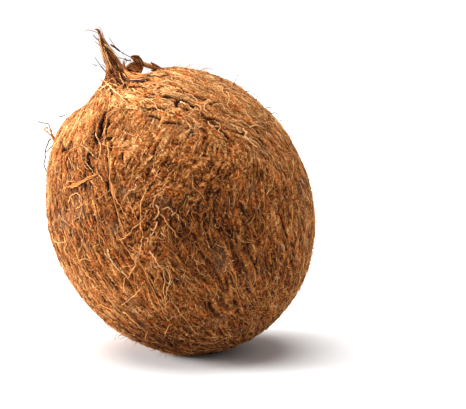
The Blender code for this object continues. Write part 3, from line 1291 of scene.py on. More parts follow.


# single strands, most of them pale, that show best on the front: half width in mm, tone, and the
# places they run through as polar angle and azimuth in degrees. The darkest lie along the cracks
# and tears and paint the shade in them.
foundStrands = [
    (0.3, 0.35, [(1.5, -69.6), (3.3, -22.1), (6.5, -1.8), (7.9, 11)]),
    (0.34, 0.25, [(3.5, 26), (6.4, 21.7), (9.5, 22.2), (12.6, 17.3)]),
    (0.3, 0.82, [(8.7, -14.3), (9, -1.2), (11.3, 6.8), (14.8, 8.7)]),
    (0.28, 0.93, [(3.6, -77), (4.7, -33.3), (9, -9.2), (13, -2), (21.6, 2), (27.2, 3.4)]),
    (0.32, 0.78, [(5.8, 51.4), (8.6, 33.5), (12, 23.6), (20.7, 14)]),
    (0.32, 0.12, [(6.1, 13.6), (7, 27.6), (9.4, 29.2)]),
    (0.3, 0.15, [(10.2, 5.9), (10, 14.7), (12.1, 19.6), (15.3, 17.3)]),
    (0.3, 0.12, [(2.5, -12.8), (3.5, 16.9), (5.5, 22.5)]),
    (0.28, 0.3, [(15.8, 4.2), (14.7, 10.6), (21.7, 10.8), (26.8, 10.7)]),
    (0.24, 0.9, [(3.9, -76.9), (4.4, -78), (8.9, -24.6), (13.2, -17.6)]),
    (0.26, 0.82, [(6.4, -79.6), (10.8, -31.2), (16.2, -19.3)]),
    (0.34, 0.8, [(7.7, 53.6), (11.7, 36.6), (14.6, 37.5), (21.2, 34.5), (24, 37.5)]),
    (0.3, 0.66, [(8.3, 57), (11.6, 44.3), (14.8, 43.7), (21.3, 39.1), (24.3, 41.2)]),
    (0.28, 0.86, [(8.6, 63.5), (11.6, 53.1), (14.7, 52.2), (20.8, 45.2)]),
    (0.24, 0.55, [(9.5, 65.2), (12.3, 58.7), (15.3, 61.1), (22.5, 48.9)]),
    (0.27, 0.8, [
        (71.8, -2.7), (73.1, -3.4), (74.1, -4.7), (75.1, -5.9), (76.3, -7.1), (78, -8.3),
        (80, -9.2), (81.9, -10.3),
    ]),
    (0.25, 0.74, [
        (81.9, -10.3), (84, -11.7), (85.5, -11.8), (86.9, -12.2), (88, -13.3), (89.8, -14.8),
        (91.2, -17), (92.6, -18.5), (93.8, -19.7), (95.3, -21.1), (96.4, -23.8), (97.5, -26.7),
    ]),
    (0.25, 0.78, [
        (71.7, -11.6), (73.7, -11.4), (76, -11.5), (78, -11.3), (79.7, -11.6), (80.8, -11.8),
    ]),
    (0.21, 0.8, [
        (68.8, -6), (70.1, -5.9), (70.4, -8), (70.4, -10), (71.1, -11.3), (71.7, -12.6),
        (72.5, -13.6),
    ]),
    (0.23, 0.74, [
        (82.2, -10.4), (82.6, -12.2), (82.9, -14.3), (83.3, -15.4), (84, -16.5), (84.4, -18.4),
        (84.9, -20.2), (84.8, -21.6),
    ]),
    (0.25, 0.7, [
        (84.4, -22.3), (85.3, -21.4), (87.3, -21.1), (89, -20.7), (90.8, -20), (92.2, -19.5),
        (93.5, -19.3),
    ]),
    (0.29, 0.78, [
        (93.5, -19.3), (94.9, -18.8), (96.7, -18.6), (98.8, -18.6), (100.9, -18.6),
        (102.7, -18.4), (104.9, -18.6), (107, -19.1),
    ]),
    (0.25, 0.76, [
        (102.5, -21.3), (104.5, -21.8), (107, -22.7), (109.1, -23.5), (111.4, -24.3),
        (113.8, -24.8), (114.7, -25.1),
    ]),
    (0.32, 0.92, [
        (92.6, -12.5), (93.8, -12.5), (95.6, -12.2), (97.2, -12.3), (98.5, -12.2), (99.9, -11.9),
    ]),
    (0.25, 0.8, [
        (99.9, -11.9), (101.3, -11.7), (103, -12.6), (104.9, -13.3), (106.5, -14.9),
        (108.1, -16.5), (110.2, -17.3), (112.2, -18.4), (114.3, -19.6), (116.1, -20.2),
    ]),
    (0.17, 0.8, [
        (104.2, -25.1), (105, -28), (106.1, -31.9), (106.9, -35.8), (107.5, -39.1),
        (108.3, -42.1),
    ]),
    (0.32, 0.78, [
        (110.3, -43), (111.8, -40.8), (113.5, -40.8), (115.8, -40.9), (118.2, -41.2),
        (120.9, -43.7),
    ]),
    (0.27, 0.92, [
        (85.8, -28.9), (87.3, -29.4), (89, -29.8), (90.3, -29.7), (92, -29.5), (93.3, -29.4),
    ]),
    (0.23, 0.88, [(93.7, -28), (95.5, -27.8), (96.9, -27.3), (97.9, -26.7)]),
    (0.23, 0.76, [(75.6, -0.3), (76.9, -1), (77.9, -2.2), (79.1, -3.1), (79.8, -3.3)]),
    (0.32, 0.85, [(79.2, -2), (80.2, -1.5), (81.2, -1.9), (82.4, -2.7), (83, -4), (83.6, -5.1)]),
    (0.29, 0.76, [
        (82.5, -2.4), (83.8, -1.3), (85.3, -1.3), (87.1, -1), (88.3, -0.8), (89.7, -0.3),
        (91.8, -0.2), (93, 0),
    ]),
    (0.21, 0.78, [(81.4, -0.4), (81.8, 0.7), (81.9, 2), (83.2, 2.6), (84.4, 2.7)]),
    (0.19, 0.68, [(87.7, -1.4), (90.2, -2.8), (92.2, -3.6)]),
    (0.19, 0.72, [(87.1, -12.5), (88.1, -11.3), (89, -10.1)]),
    (0.21, 0.74, [
        (99, -14.9), (98.8, -12.9), (99.3, -11.4), (100.4, -9.8), (100.7, -8.2), (102.2, -7.8),
        (103.4, -8),
    ]),
    (0.25, 0.72, [(122.6, -40.1), (124.5, -44.4), (126.7, -49.3)]),
    (0.19, 0.7, [(95.2, -21.5), (97.1, -23.1), (99.8, -24.8), (102, -26.3), (104.2, -27.6)]),
    (0.17, 0.7, [(101.8, -20.8), (102.7, -23), (104.3, -24.9)]),
    (0.34, 0.74, [
        (64.1, -16), (66.8, -16.2), (69.6, -17), (72.5, -17.6), (75.5, -17.9), (78, -18.2),
        (80.5, -18.5), (83.2, -18.6),
    ]),
    (0.29, 0.82, [
        (48.2, -12.1), (51.1, -12.8), (56.2, -14.2), (60, -15.4), (62.8, -16.3), (65.9, -16.5),
    ]),
    (0.21, 0.8, [
        (64.3, -15.6), (68.5, -15.9), (71.4, -16.3), (73.9, -15.8), (75.9, -15.6), (77.6, -15.3),
        (80.3, -15.1),
    ]),
    (0.27, 0.92, [
        (64.7, -43.1), (63.4, -41.9), (62.7, -40), (62.3, -37.7), (62.3, -36.3), (63.4, -34.5),
        (64.7, -33.6), (66, -32.8),
    ]),
    (0.25, 0.97, [
        (41.5, -18.8), (44, -18.7), (46.2, -17.7), (48.3, -16.6), (50.1, -16.7), (51.9, -17.9),
        (53.6, -19.3), (54.5, -20.4), (55.4, -22.5),
    ]),
    (0.23, 0.9, [(46.1, -26.8), (48.5, -24.3), (50.4, -22.6), (52.2, -21), (53.5, -19.5)]),
    (0.19, 0.85, [(43.9, -29.8), (45.3, -28.3), (46.7, -26.1)]),
    (0.19, 0.8, [(53.1, -33.4), (54.4, -31.5), (55.8, -30.3), (58.2, -30.6)]),
    (0.19, 0.85, [(53.2, -28.4), (54.7, -27.4), (55.8, -26.4)]),
    (0.17, 0.85, [(52.8, -15.4), (54.1, -14.4), (55, -14.1)]),
    (0.17, 0.92, [(69.8, -20.7), (69.5, -19.5), (69.2, -18.3)]),
    (0.25, 0.97, [
        (9.7, -40.7), (8.4, -20.7), (9, -11), (12.2, -3.9), (21.6, 2), (26.8, 4.6), (30.9, 6.1),
        (34.8, 7),
    ]),
    (0.21, 0.9, [(30.3, 6.4), (32.8, 9.2), (35.3, 12.2), (37.2, 14.5), (39.6, 16.3)]),
    (0.38, 0.9, [(37.3, 5.6), (39.3, 7.9), (40.5, 10.6), (40.5, 12.7)]),
    (0.34, 0.88, [(37.8, 8.2), (39.4, 10.1), (41.3, 10.8)]),
    (0.25, 0.9, [(20.2, -2.1), (26.7, -3.6), (29.9, -5.3), (33.3, -8.8), (35.4, -11.5)]),
    (0.21, 0.86, [(33.8, 34.5), (35, 38.4), (37.5, 39.1), (39.8, 39.8), (41.1, 40.4)]),
    (0.23, 0.9, [(40, 30.3), (41.7, 32.9), (43.3, 35.4)]),
    (0.32, 0.97, [(48, 34.6), (49.4, 34.9), (50.7, 35.5)]),
    (0.21, 0.97, [(57.5, 28.8), (59, 28.6), (59.9, 28.3), (60.5, 30.7), (61.4, 32.8), (63, 34.1)]),
    (0.19, 0.9, [(52.8, 39.3), (54.3, 36), (55, 32.6), (54.7, 29.7), (53.7, 27.7)]),
    (0.25, 0.99, [(50.2, 26.3), (51, 26.8), (52, 27.1)]),
    (0.25, 0.94, [(58.6, 5.6), (59.7, 2.9), (60.7, 1.3), (61.7, 0.6)]),
    (0.21, 0.97, [(62.7, 5.7), (63.5, 3.8)]),
    (0.17, 0.94, [(70.5, 25.9), (71.3, 23.7)]),
    (0.21, 0.9, [(52, 4.6), (53.2, 2.9), (54.3, 1.1)]),
    (0.19, 0.82, [(75.9, -27.9), (79, -29.7), (82.3, -28.9), (85.5, -28.7)]),
    (0.19, 0.84, [(79.3, -40.4), (81.7, -40), (83.5, -38.7)]),
    (0.19, 0.84, [
        (91.9, -40.2), (94, -40.1), (95.8, -39.9), (98, -40.1), (100.5, -40.7), (102.9, -40.5),
    ]),
    (0.4, 0.68, [
        (58.9, -42.6), (58.9, -40.5), (58.7, -37.4), (58.7, -34.5), (58.7, -31.7), (58.6, -29),
        (58.8, -26.6), (58.9, -24.2), (59.1, -21.8), (59.3, -20.7),
    ]),
    (0.34, 0.78, [
        (59.2, -39.8), (59.3, -36.8), (59.3, -33.2), (59.2, -29.9), (59.4, -26.7), (59.6, -23.8),
    ]),
    (0.2, 0.8, [(57.7, -43.7), (57, -41.8), (57, -39.3), (57.6, -37.1), (57.8, -35.7)]),
    (0.2, 0.8, [(58.4, -42.1), (58.7, -44.5), (60.4, -45.7), (62.1, -46.7)]),
    (0.32, 0.85, [(67.9, -38.3), (67.7, -35.8), (67.4, -34), (67.1, -32.6)]),
    (0.26, 0.9, [(58.4, -23.4), (57.2, -24.6), (55.3, -25.6), (53.6, -27.1), (51.8, -27.6)]),
    (0.22, 0.88, [(59.6, -20.9), (61, -20.2), (62.8, -19.8)]),
    (0.22, 0.85, [(60.4, -25.8), (61.4, -25), (62.8, -24.3)]),
    (0.22, 0.85, [(47.4, -40.3), (49, -38.5), (50.8, -37.7)]),
    (0.34, 0.9, [(57.5, 41.1), (55, 42.6), (53.8, 46.2), (53.5, 50.9)]),
    (0.25, 0.93, [(61, 37.5), (62.8, 36.9), (64.1, 38.6), (65.1, 40.7)]),
    (0.25, 0.9, [(66.3, 46.1), (68.1, 47.4), (69.7, 49.7)]),
    (0.3, 0.9, [(68, 47.9), (69.7, 47.2), (71.5, 48.2)]),
    (0.32, 0.96, [(71.9, 51.4), (72.7, 48.8), (74.5, 48.2), (76.4, 48.8), (78.8, 50.5)]),
    (0.28, 0.88, [(70.9, 55.2), (71.3, 60), (73.3, 63.7)]),
    (0.25, 0.92, [(49.1, 68.4), (52.3, 63.9), (55.7, 61.4), (58.7, 60)]),
    (0.2, 0.9, [(50.2, 69.3), (53.4, 62.9)]),
    (0.25, 0.87, [(45, 24.6), (46.8, 26.9), (46.9, 29.6)]),
    (0.25, 0.87, [(40.1, 21), (41.1, 25.1)]),
    (0.22, 0.88, [(97.8, -28.2), (99.7, -30.5), (101.9, -31.8), (104.4, -32.8)]),
    (0.22, 0.9, [(85.5, -8), (87.2, -7.6), (88.1, -9.5)]),
    (0.22, 0.88, [(84.7, -4.4), (86.3, -6.2), (86.9, -7.5)]),
    (0.2, 0.9, [(104.4, -13.4), (106.3, -13.2), (106.8, -12.1), (106.1, -10.5)]),
    (0.2, 0.9, [(110.9, -20.2), (113.2, -20.2), (113.6, -18.7), (112.7, -16.5)]),
    (0.2, 0.9, [(118.9, -24.4), (121.2, -24.2), (120.4, -21.7)]),
    (0.22, 0.85, [(85, 1.5), (84.7, 3.4), (86.2, 4.1), (87.8, 3.4)]),
    (0.2, 0.88, [(88, -5), (89.7, -4.7), (90.6, -3.5)]),
    (0.3, 0.45, [(1.7, -70), (0.5, -32.8), (4, 12.7), (6.2, 8.3), (6.5, -1.8)]),
    (0.3, 0.75, [(6.7, -6.6), (6.8, 6.4), (8.6, 12.4), (10.9, 9.9), (11.5, 3.9)]),
    (0.3, 0.3, [(5.1, 19.6), (5.9, 30.9), (7.6, 28.2), (9.2, 20.4)]),
    (0.28, 0.6, [(7.2, -15.2), (10.3, -5.3), (11.9, 1.2), (12.3, 7.6)]),
    (0.28, 0.5, [(12.7, 9.2), (15.8, 9.5), (20.7, 11.4), (17.6, 16.4)]),
    (0.35, 0.2, [(8.4, 27.1), (10.8, 23.4), (13.7, 17.1), (15.8, 11.3)]),
    (0.28, 0.75, [(13.8, 1.7), (20.6, 4.7), (24.3, 8.2)]),
    (0.3, 0.12, [(4, -3.3), (6.6, 2.4), (8.6, -4)]),
    (0.3, 0.15, [(9.3, 10.7), (11.7, 13.4), (14.3, 11.1)]),
    (0.5, 0.05, [
        (8.3, 43.9), (11.8, 34.6), (15.4, 32.7), (23.5, 29.3), (25.7, 32.9), (26.7, 37.9),
    ]),
    (0.38, 0.08, [(11, 34), (15.7, 29.9), (24.2, 26.9), (26.3, 30.8)]),
    (0.42, 0.06, [(25.9, 16.3), (26.6, 19.3), (27.7, 22.3), (29.7, 24.3)]),
    (0.4, 0.08, [(14.2, 22.4), (19.6, 16.6), (24.4, 11.8)]),
    (0.3, 0.08, [(17.4, 54.7), (24.6, 44.6), (27.7, 46.7), (29.6, 50.1), (30.6, 55.7)]),
    (0.28, 0.1, [(37.8, 19.5), (37.9, 21.7), (39.6, 23), (40.5, 25)]),
    (0.26, 0.1, [(36.1, 31.3), (35.6, 34.6), (36.9, 36.3)]),
    (0.3, 0.08, [(41.4, 28.6), (42.4, 32), (44.7, 33.6), (46.5, 34.3)]),
    (0.26, 0.1, [(40.8, 13.3), (42.9, 15.7), (43.9, 18.3)]),
    (0.3, 0.08, [(14.4, -3.7), (23.3, -0.3), (27.3, -2.2)]),
    (0.42, 0.06, [(42, 40.7), (45.8, 44.9), (48.4, 45.7), (51.2, 46.3), (52.1, 49)]),
    (0.46, 0.05, [(47.4, 36.2), (49.5, 37.8), (51.4, 37.6), (52.9, 37.4)]),
    (0.42, 0.06, [(46.8, 34.3), (47.4, 32), (49.2, 30.4)]),
    (0.32, 0.07, [(43.9, 18.9), (45.7, 21.3), (47.2, 25.1)]),
    (0.32, 0.08, [(46.2, 14.4), (48, 16.8), (50.3, 18.6)]),
    (0.3, 0.09, [(52.5, 19.8), (54.3, 22.3), (55.8, 25.6)]),
    (0.35, 0.07, [(58.9, 37.4), (61.1, 38.8), (63.6, 40.5)]),
    (0.28, 0.1, [(54.7, 47.3), (55.4, 51.2), (56.9, 53.8)]),
    (0.3, 0.1, [(59.5, 46.4), (61.5, 49.7), (63.5, 51.4), (65.2, 52.2)]),
    (0.3, 0.1, [(67.3, 52.3), (69.8, 53.6), (71.5, 54.3)]),
    (0.34, 0.08, [(65.3, 39.2), (68.1, 40), (70.3, 40.8)]),
    (0.35, 0.06, [(71.9, 48.4), (74.1, 49.4)]),
    (0.3, 0.08, [(56.1, 42.2), (58.1, 43.1)]),
    (0.3, 0.08, [(56, 38.1), (57.7, 38.4)]),
    (0.6, 0.03, [(33.7, -11), (36.7, -12.6), (38.7, -14.9), (40.4, -16)]),
    (0.95, 0.02, [(41.9, -13.9), (43, -15.2), (44.1, -16.7), (45.5, -17.6)]),
    (0.24, 0.07, [(38.3, -8), (41, -9.7), (43.1, -11.3), (45.7, -12), (48, -11.7)]),
    (0.45, 0.8, [(41.9, -12.5), (43.4, -13.2), (44.7, -14.4)]),
    (0.3, 0.75, [(42.4, -11.8), (44.5, -12.7), (46.1, -13.7)]),
    (0.85, 0.05, [(9.2, 39.2), (12.6, 32.8), (17.3, 30.3), (24.2, 29.3), (26, 33.7), (26.4, 37.8)]),
    (0.5, 0.1, [(9.8, 48.2), (13, 44), (17.4, 41.5), (23.5, 37.2)]),
    (0.5, 0.62, [
        (59, -41.4), (58.9, -37.4), (58.9, -33.1), (58.9, -29.1), (59.1, -25.4), (59.3, -21.9),
    ]),
    (0.3, 0.8, [(59.8, -39.2), (59.8, -35.5), (59.7, -32), (59.5, -28.7)]),
    (0.4, 0.05, [(49.5, -24.7), (50.6, -25.9), (52.2, -26.2)]),
    (0.42, 0.05, [(54.1, -26), (55.4, -25.2)]),
    (0.4, 0.05, [(55.6, -23.3), (57, -23.3), (57.7, -25)]),
    (0.3, 0.06, [(51.8, -20.6), (53, -21.5)]),
    (0.3, 0.07, [(50, -36.1), (51.7, -34.6)]),
    (0.3, 0.07, [(51.3, -42), (52.6, -41.2)]),
    (0.24, 0.9, [(85.7, -29.3), (88.8, -29.9), (92.9, -29.6), (95.6, -28.4), (98, -26.8)]),
    (0.22, 0.84, [(85.3, -21.3), (88.8, -21.1), (93.2, -20.1), (96.2, -20.4)]),
    (0.24, 0.84, [(87.1, -13), (90.9, -15.7), (95.6, -21.7), (98.7, -28.1)]),
    (0.26, 0.82, [(94.5, -19.3), (98.9, -18.7), (103.9, -19.8), (112.8, -21.7), (118.5, -24)]),
    (0.2, 0.84, [(106.2, -22.8), (110.6, -23.9), (116.2, -25.3)]),
    (0.24, 0.84, [(100.4, -10.3), (105.4, -11.2), (110, -16.4), (113.1, -18)]),
    (0.2, 0.86, [(99.2, -13), (100.9, -10.6), (102.8, -9.6), (105.8, -10.3)]),
    (0.22, 0.8, [(127, -33.3), (124.5, -28.3), (123, -25.4)]),
    (0.2, 0.76, [(104.4, -54.5), (107, -49.7), (109.3, -46.4), (115.2, -45)]),
    (0.22, 0.84, [(112.6, -16.3), (119.3, -16.3), (130, -18.2), (136.4, -19.4)]),
    (0.2, 0.84, [(96.2, -14.5), (98.8, -13.4), (101.8, -14.4), (104.2, -18.1)]),
    (0.2, 0.82, [(75.4, -53.5), (78.3, -51.9), (80.5, -56.2), (83.4, -54.9)]),
    (0.2, 0.84, [(75.8, -69.4), (77.4, -60.4), (77.6, -51.3)]),
    (0.18, 0.84, [(86.3, -48.4), (86, -43.4), (88, -39.5)]),
    (0.2, 0.8, [(94.8, -53), (99.2, -53.6), (102.6, -53)]),
    (0.26, 0.92, [(38.8, 41.5), (42, 42.4), (45.3, 43.9), (49, 43.9), (52.3, 42.2)]),
    (0.22, 0.9, [(38.9, 30), (40.5, 34.5), (44.3, 35.7), (44.8, 39.7)]),
    (0.24, 0.92, [(51.8, 39.9), (54.6, 40.6), (56.6, 37.3), (58.9, 38.7)]),
    (0.24, 0.92, [(52.3, 49.5), (55.4, 49.3), (57.5, 52.8), (60.4, 51.3)]),
    (0.22, 0.9, [(53.3, 66.6), (56.7, 62.4), (58.7, 56), (61.5, 55.5)]),
    (0.22, 0.9, [(38.3, 19.7), (42.3, 21.8), (46.3, 20.7), (48.9, 23.5)]),
    (0.26, 0.95, [(58.8, 28.2), (60.7, 30.5), (61.8, 33.6)]),
    (0.24, 0.93, [(62.2, 40.1), (64.7, 41.2), (66.5, 38.5), (68.9, 39.7)]),
    (0.26, 0.95, [(69.8, 51.1), (72.9, 49.3), (75.5, 49.9), (77.6, 51.9)]),
    (0.22, 0.9, [(26.8, 4.6), (32.2, 8.8), (36.2, 13.9), (37.8, 18.7)]),
]

# and those that stand off the sides: the third number is the height in mm
standingStrands = [
    (0.34, 0.2, [
        (33.3, -79.5, 10.02), (32.7, -79.7, 8.52), (32.2, -80, 6.94), (31.7, -80.3, 5.36),
        (32.2, -80.5, 4.11), (33.1, -80.8, 2.69), (34.6, -81.1, 1.48), (36.1, -81.3, 0.12),
    ]),
    (0.55, 0.66, [
        (32.6, -80.6, 3.93), (33.6, -80.8, 2.69), (34.6, -81.1, 1.48), (36.1, -81.3, 0.12),
        (39.8, -59.4, 0), (42, -52.1, 0),
    ]),
    (0.46, 0.7, [
        (33.1, -80.5, 4.55), (33.1, -80.3, 5.38), (34, -80.3, 5.71), (34.2, -80.5, 4.47),
        (34.7, -80.8, 2.81), (36, -81.2, 0.82), (38.5, -63.7, 0),
    ]),
    (0.40, 0.08, [
        (35.9, -81.1, 1.35), (36.6, -81, 1.93), (38, -80.9, 2.22), (39.8, -80.9, 2.41),
        (41.5, -80.9, 2.47), (43.1, -80.9, 2.38), (45, -80.9, 2.05), (46.5, -80.9, 1.87),
        (47.9, -80.9, 1.33), (49.3, -81, 0.43), (50.9, -70, 0),
    ]),
    (0.36, 0.2, [(38.7, -81.3, 0.15), (39.5, -81.2, 0.76), (40.9, -81, 1.57), (41.8, -80.9, 2.35)]),
    (0.28, 0.15, [
        (27.4, -80.5, 3.25), (26.1, -80.7, 2.15), (24.4, -80.8, 1.31), (22.5, -80.9, 0.64),
    ]),
    (0.26, 0.12, [(53.7, 73.3, 0), (53, 87, 0), (52.8, 91.7, 2.55), (52.4, 91.4, 4.86)]),
    (0.24, 0.15, [(58, 79.7, 0), (58.9, 91.7, 0.48), (60.5, 91.6, 1.12), (62.3, 91.5, 1.28)]),
    (0.26, 0.12, [(63.9, 74.4, 0), (63.6, 86.9, 0), (63.3, 91.4, 2.07), (62.7, 91.2, 3.71)]),
    (0.24, 0.2, [(67.9, 76.9, 0), (68.6, 91.4, 0.22), (69.6, 91.2, 1.58), (70.8, 91.1, 2.03)]),
    (0.26, 0.12, [(70.8, 78.2, 0), (71.7, 91.2, 0.35), (72.7, 91, 1.77), (74.3, 90.9, 2.47)]),
    (0.24, 0.2, [(73.5, 76.1, 0), (74.8, 91.1, 0.05), (76, 90.9, 1.24), (77, 90.7, 1.97)]),
    (0.16, 0.4, [(45.6, 76, 0), (45.6, 92.2, 0.17), (47, 92, 1.22)]),
    (0.16, 0.5, [(38.3, 82.9, 0), (39.5, 92.1, 1.15), (41.4, 91.9, 1.96), (43.1, 92, 1.87)]),
]


traced = {
    "foundHeight": 0.00055,  # over the felt
    "standingHeight": 0.0002,
    "knots": 20,
    "waver": 0.12,  # degrees
    "rise": 0.00006,  # how much the height wavers
    "taper": 0.35,
    "lanes": (1, 5),
    # strands darker than this stand in for the shadow in their crease
    "creaseShadowTone": 0.11,  # darker ones near the stem bridge their crease
    "bridgeEnds": (math.radians(30), math.radians(42)),
    "bridge": 0.85,  # of the crease's depth
}


def resampled(rows, knots):
    # every row's line with a Catmull-Rom curve run through it, cut into the same number of steps
    t = np.linspace(0, 1, knots)
    return np.stack([smoothCurve(row[2], t) for row in rows])


def tracedStrands(rows, height, seed):
    # strands through given places on the coat, with a little waver of their own. A place may have
    # a third number, its height over the coat in mm.
    rng, knots = np.random.default_rng(seed), traced["knots"]
    lines = resampled(rows, knots)
    waver = rng.normal(0, traced["waver"], (2, len(rows), knots))
    polar = np.radians(lines[..., 0] + waver[0])
    azimuth = np.radians(lines[..., 1] + waver[1] / np.sin(polar))
    t = np.linspace(0, 1, knots)
    heights = height * np.sin(math.pi * t) ** 0.3 + rng.normal(0, traced["rise"], polar.shape)
    if lines.shape[-1] == 3:
        heights = heights + mm * lines[..., 2]
    radii = np.array([row[0] for row in rows])[:, None] * mm * (1 - traced["taper"] * t)
    tones = np.array([row[1] for row in rows])
    lanes = rng.integers(*traced["lanes"], len(rows))
    # near the stem a dark strand lies across the mouth of its crease, as painted shadow of the
    # crease, where the eye still meets it
    crease = np.maximum(0, lineDepth(smoothShape(polar, azimuth), coatLines))
    shadowBridge = (tones[:, None] < traced["creaseShadowTone"]) * (1 - ramp(polar, *traced["bridgeEnds"]))
    heights = heights + traced["bridge"] * shadowBridge * crease
    paths, ups = coatPoint(polar, azimuth, heights)[:2]
    return {"paths": paths, "ups": ups, "radii": radii, "tones": tones, "lanes": lanes}


found = tracedStrands(foundStrands, traced["foundHeight"], 21)
foundPiece = strandPiece("foundStrands", found, looseFinish)
standing = tracedStrands(standingStrands, traced["standingHeight"], 22)
standingPiece = strandPiece("standingStrands", standing, looseFinish)
loosePieces = strandPieces("looseStrands", looseStrands(loose, 6), looseFinish)
curlPieces = strandPieces("fineHairs", looseStrands(curls, 7), looseFinish)
curlPieces += strandPieces("coatFuzz", looseStrands(fuzz, 15), looseFinish)
print("loose strands laid")

# the tuft
# rolls of matted fibre: the tones at the left, the middle and the right, how flat the section is,
# and the places they run through with the half width there, in mm in the nut's own frame
tuftRolls = {
    "sheaf": ((0.54, 0.25, 0.38), 0.75, [
        (2.6, 0, 60.0, 4.2), (2.9, 0, 63.4, 3.75), (3.2, 0, 66.0, 3.42), (3.4, -0.2, 68.2, 3.04),
        (3.6, -0.4, 70.4, 2.85), (3.7, -0.6, 72.6, 2.50), (3.8, -0.8, 75.0, 2.20),
        (3.9, -1, 77.2, 1.80), (4.0, -1, 79.2, 1.38), (4.0, -1, 81.1, 0.94),
        (4.3, -1, 82.9, 0.62), (4.7, -1, 84.6, 0.42), (4.9, -1, 86.0, 0.35),
        (4.5, -1, 86.9, 0.26), (3.6, -1, 87.5, 0.11),
    ]),
    "knobTop": ((0.62, 0.52, 0.22), 0.9, [
        (11.9, -0.8, 69.8, 0.13), (13.0, -0.8, 69.1, 0.88), (13.9, -0.8, 67.8, 1.45),
        (14.2, -0.8, 66.2, 1.45), (13.9, -0.6, 64.5, 1.23), (12.8, -0.4, 63.2, 1.14),
        (11.4, -0.2, 61.0, 0.70),
    ]),
    # the knot's low roll is paler, partly its own tan and partly painted light where the sheaf
    # shades it
    "knobLow": ((0.56, 0.80, 0.42), 0.9, [
        (7.8, -1.6, 66.2, 0.22), (9.1, -1.6, 66.2, 1.06), (10.4, -1.6, 65.6, 1.72),
        (11.5, -1.4, 64.5, 1.80), (12.1, -1, 63.2, 1.32), (12.4, -0.6, 60.9, 0.53),
    ]),
    "knobArc": ((0.10, 0.22, 0.30), 1.0, [
        (8.2, -3, 65.8, 0.22), (9.4, -3, 66.6, 0.53), (11.0, -3.2, 66.7, 0.57),
        (12.6, -3, 66.5, 0.53), (14.0, -2.4, 66.0, 0.44),
    ]),
    "trail": ((0.30, 0.18, 0.34), 0.8, [
        (14.6, -0.6, 66.6, 0.53), (15.6, -0.6, 64.7, 0.70), (16.9, -0.6, 63.1, 0.70),
        (18.5, -0.4, 61.5, 0.70), (20.4, -0.2, 60.0, 0.62), (22.4, 0, 58.6, 0.44),
        (24.8, 0, 57.1, 0.18),
    ]),
    "trailLow": ((0.30, 0.16, 0.20), 0.8, [
        (17.0, -0.4, 60.9, 0.13), (18.2, -0.4, 60.0, 0.40), (20.1, -0.2, 58.9, 0.44),
        (22.1, 0, 58.1, 0.35), (24.1, 0, 57.2, 0.13),
    ]),
    "spur": ((0.45, 0.36, 0.30), 0.5, [
        (18.8, -0.6, 64.1, 0.11), (19.0, -0.6, 63.1, 0.40), (19.7, -0.6, 62.0, 0.53),
        (20.6, -0.4, 60.7, 0.44), (21.6, -0.2, 59.5, 0.18),
    ]),
    "lip": ((0.68, 0.58, 0.44), 0.9, [
        (8.5, -3.2, 69.9, 0.18), (8.1, -4.4, 68.0, 0.53), (7.6, -5.2, 65.4, 0.75),
        (8.6, -8.5, 63.1, 0.84), (10.5, -11.1, 61.3, 0.75), (13.5, -17.6, 60.0, 0.44),
        (16.1, -18.9, 58.9, 0.18),
    ]),
    "lipUpper": ((0.56, 0.62, 0.46), 0.9, [
        (9.3, -5.5, 64.1, 0.22), (10.5, -6.9, 62.8, 0.53), (12.5, -8.2, 61.4, 0.57),
        (15.5, -15.1, 60.1, 0.40), (18.3, -16.7, 59.0, 0.18),
    ]),
}
rollDetail = {
    "knots": 40,
    "around": 32,
    "flute": 0.24,
    "fineFlute": 0.6,  # of the flute
    "fluteScale": (3.2, 4.0),  # flutes round the section and along the roll
    "fineScale": [2.3, 2.3, 1.5],  # times finer
    "toneEdge": (0.35, 0.95),  # where the side tones come in
    "toneNoise": 0.20,
}
sheaf = {
    "strands": 150,
    "lanes": (0, 5),
    "knots": 12,
    "radius": (0.00008, 0.00018),
    "tone": 0.38,
    "toneSpread": 0.19,
    "paleShare": 0.10,
    "leftTone": 0.36,  # the side away from the stub is paler
    "shortest": 0.45,
    "splay": 0.0016,
}
# the knot's strands are paler, partly its own tan and partly painted light where the sheaf shades
# the knot
knob = {
    "strands": 50,
    "lanes": (0, 3),  # the red hues
    "knots": 12,
    "radius": (0.00008, 0.00020),
    "tone": 0.50,
    "toneSpread": 0.34,
    "paleShare": 0.20,
    "leftTone": 0.20,
    "shortest": 0.35,
    "splay": 0.0012,
}
bundle = {  # what the sheaf and the knob share
    "wind": (0.1, 0.25),  # radians round the roll from foot to tip: the mean, and its spread
    "splayPower": 6,  # the higher, the fewer splay
    "splayGrows": 3,
    "cover": (0.98, 1.10),  # of the roll's half width
    "base": 0.00005,
    "waver": 0.04,
    "taper": 0.5,
    "pale": (0.75, 0.95),
}
skirt = {
    "centre": (0.0032, 0.0),
    "foot": 0.0026,  # radius of the circle they start from
    "strands": 300,
    "knots": 10,
    "reach": (0.0055, 0.0140),
    "rise": (0.0004, 0.0030),
    "radius": (0.00009, 0.00020),
    "tone": 0.60,
    "toneSpread": 0.20,
    "lanes": (0, 6),
    "wind": 0.25,  # how far they turn round the foot, in radians
    "wander": 0.09,
    "waver": 0.00012,
    "base": 0.0004,
    "sinks": 0.0005,  # how far the ends go into the felt
    "spreads": 1.2,  # the higher, the longer they stay at the foot
    "rises": (0.55, 1.5),  # over this share of their length, and how fast that falls away
    "taper": 0.3,
    "lineClear": 0.0004,
}
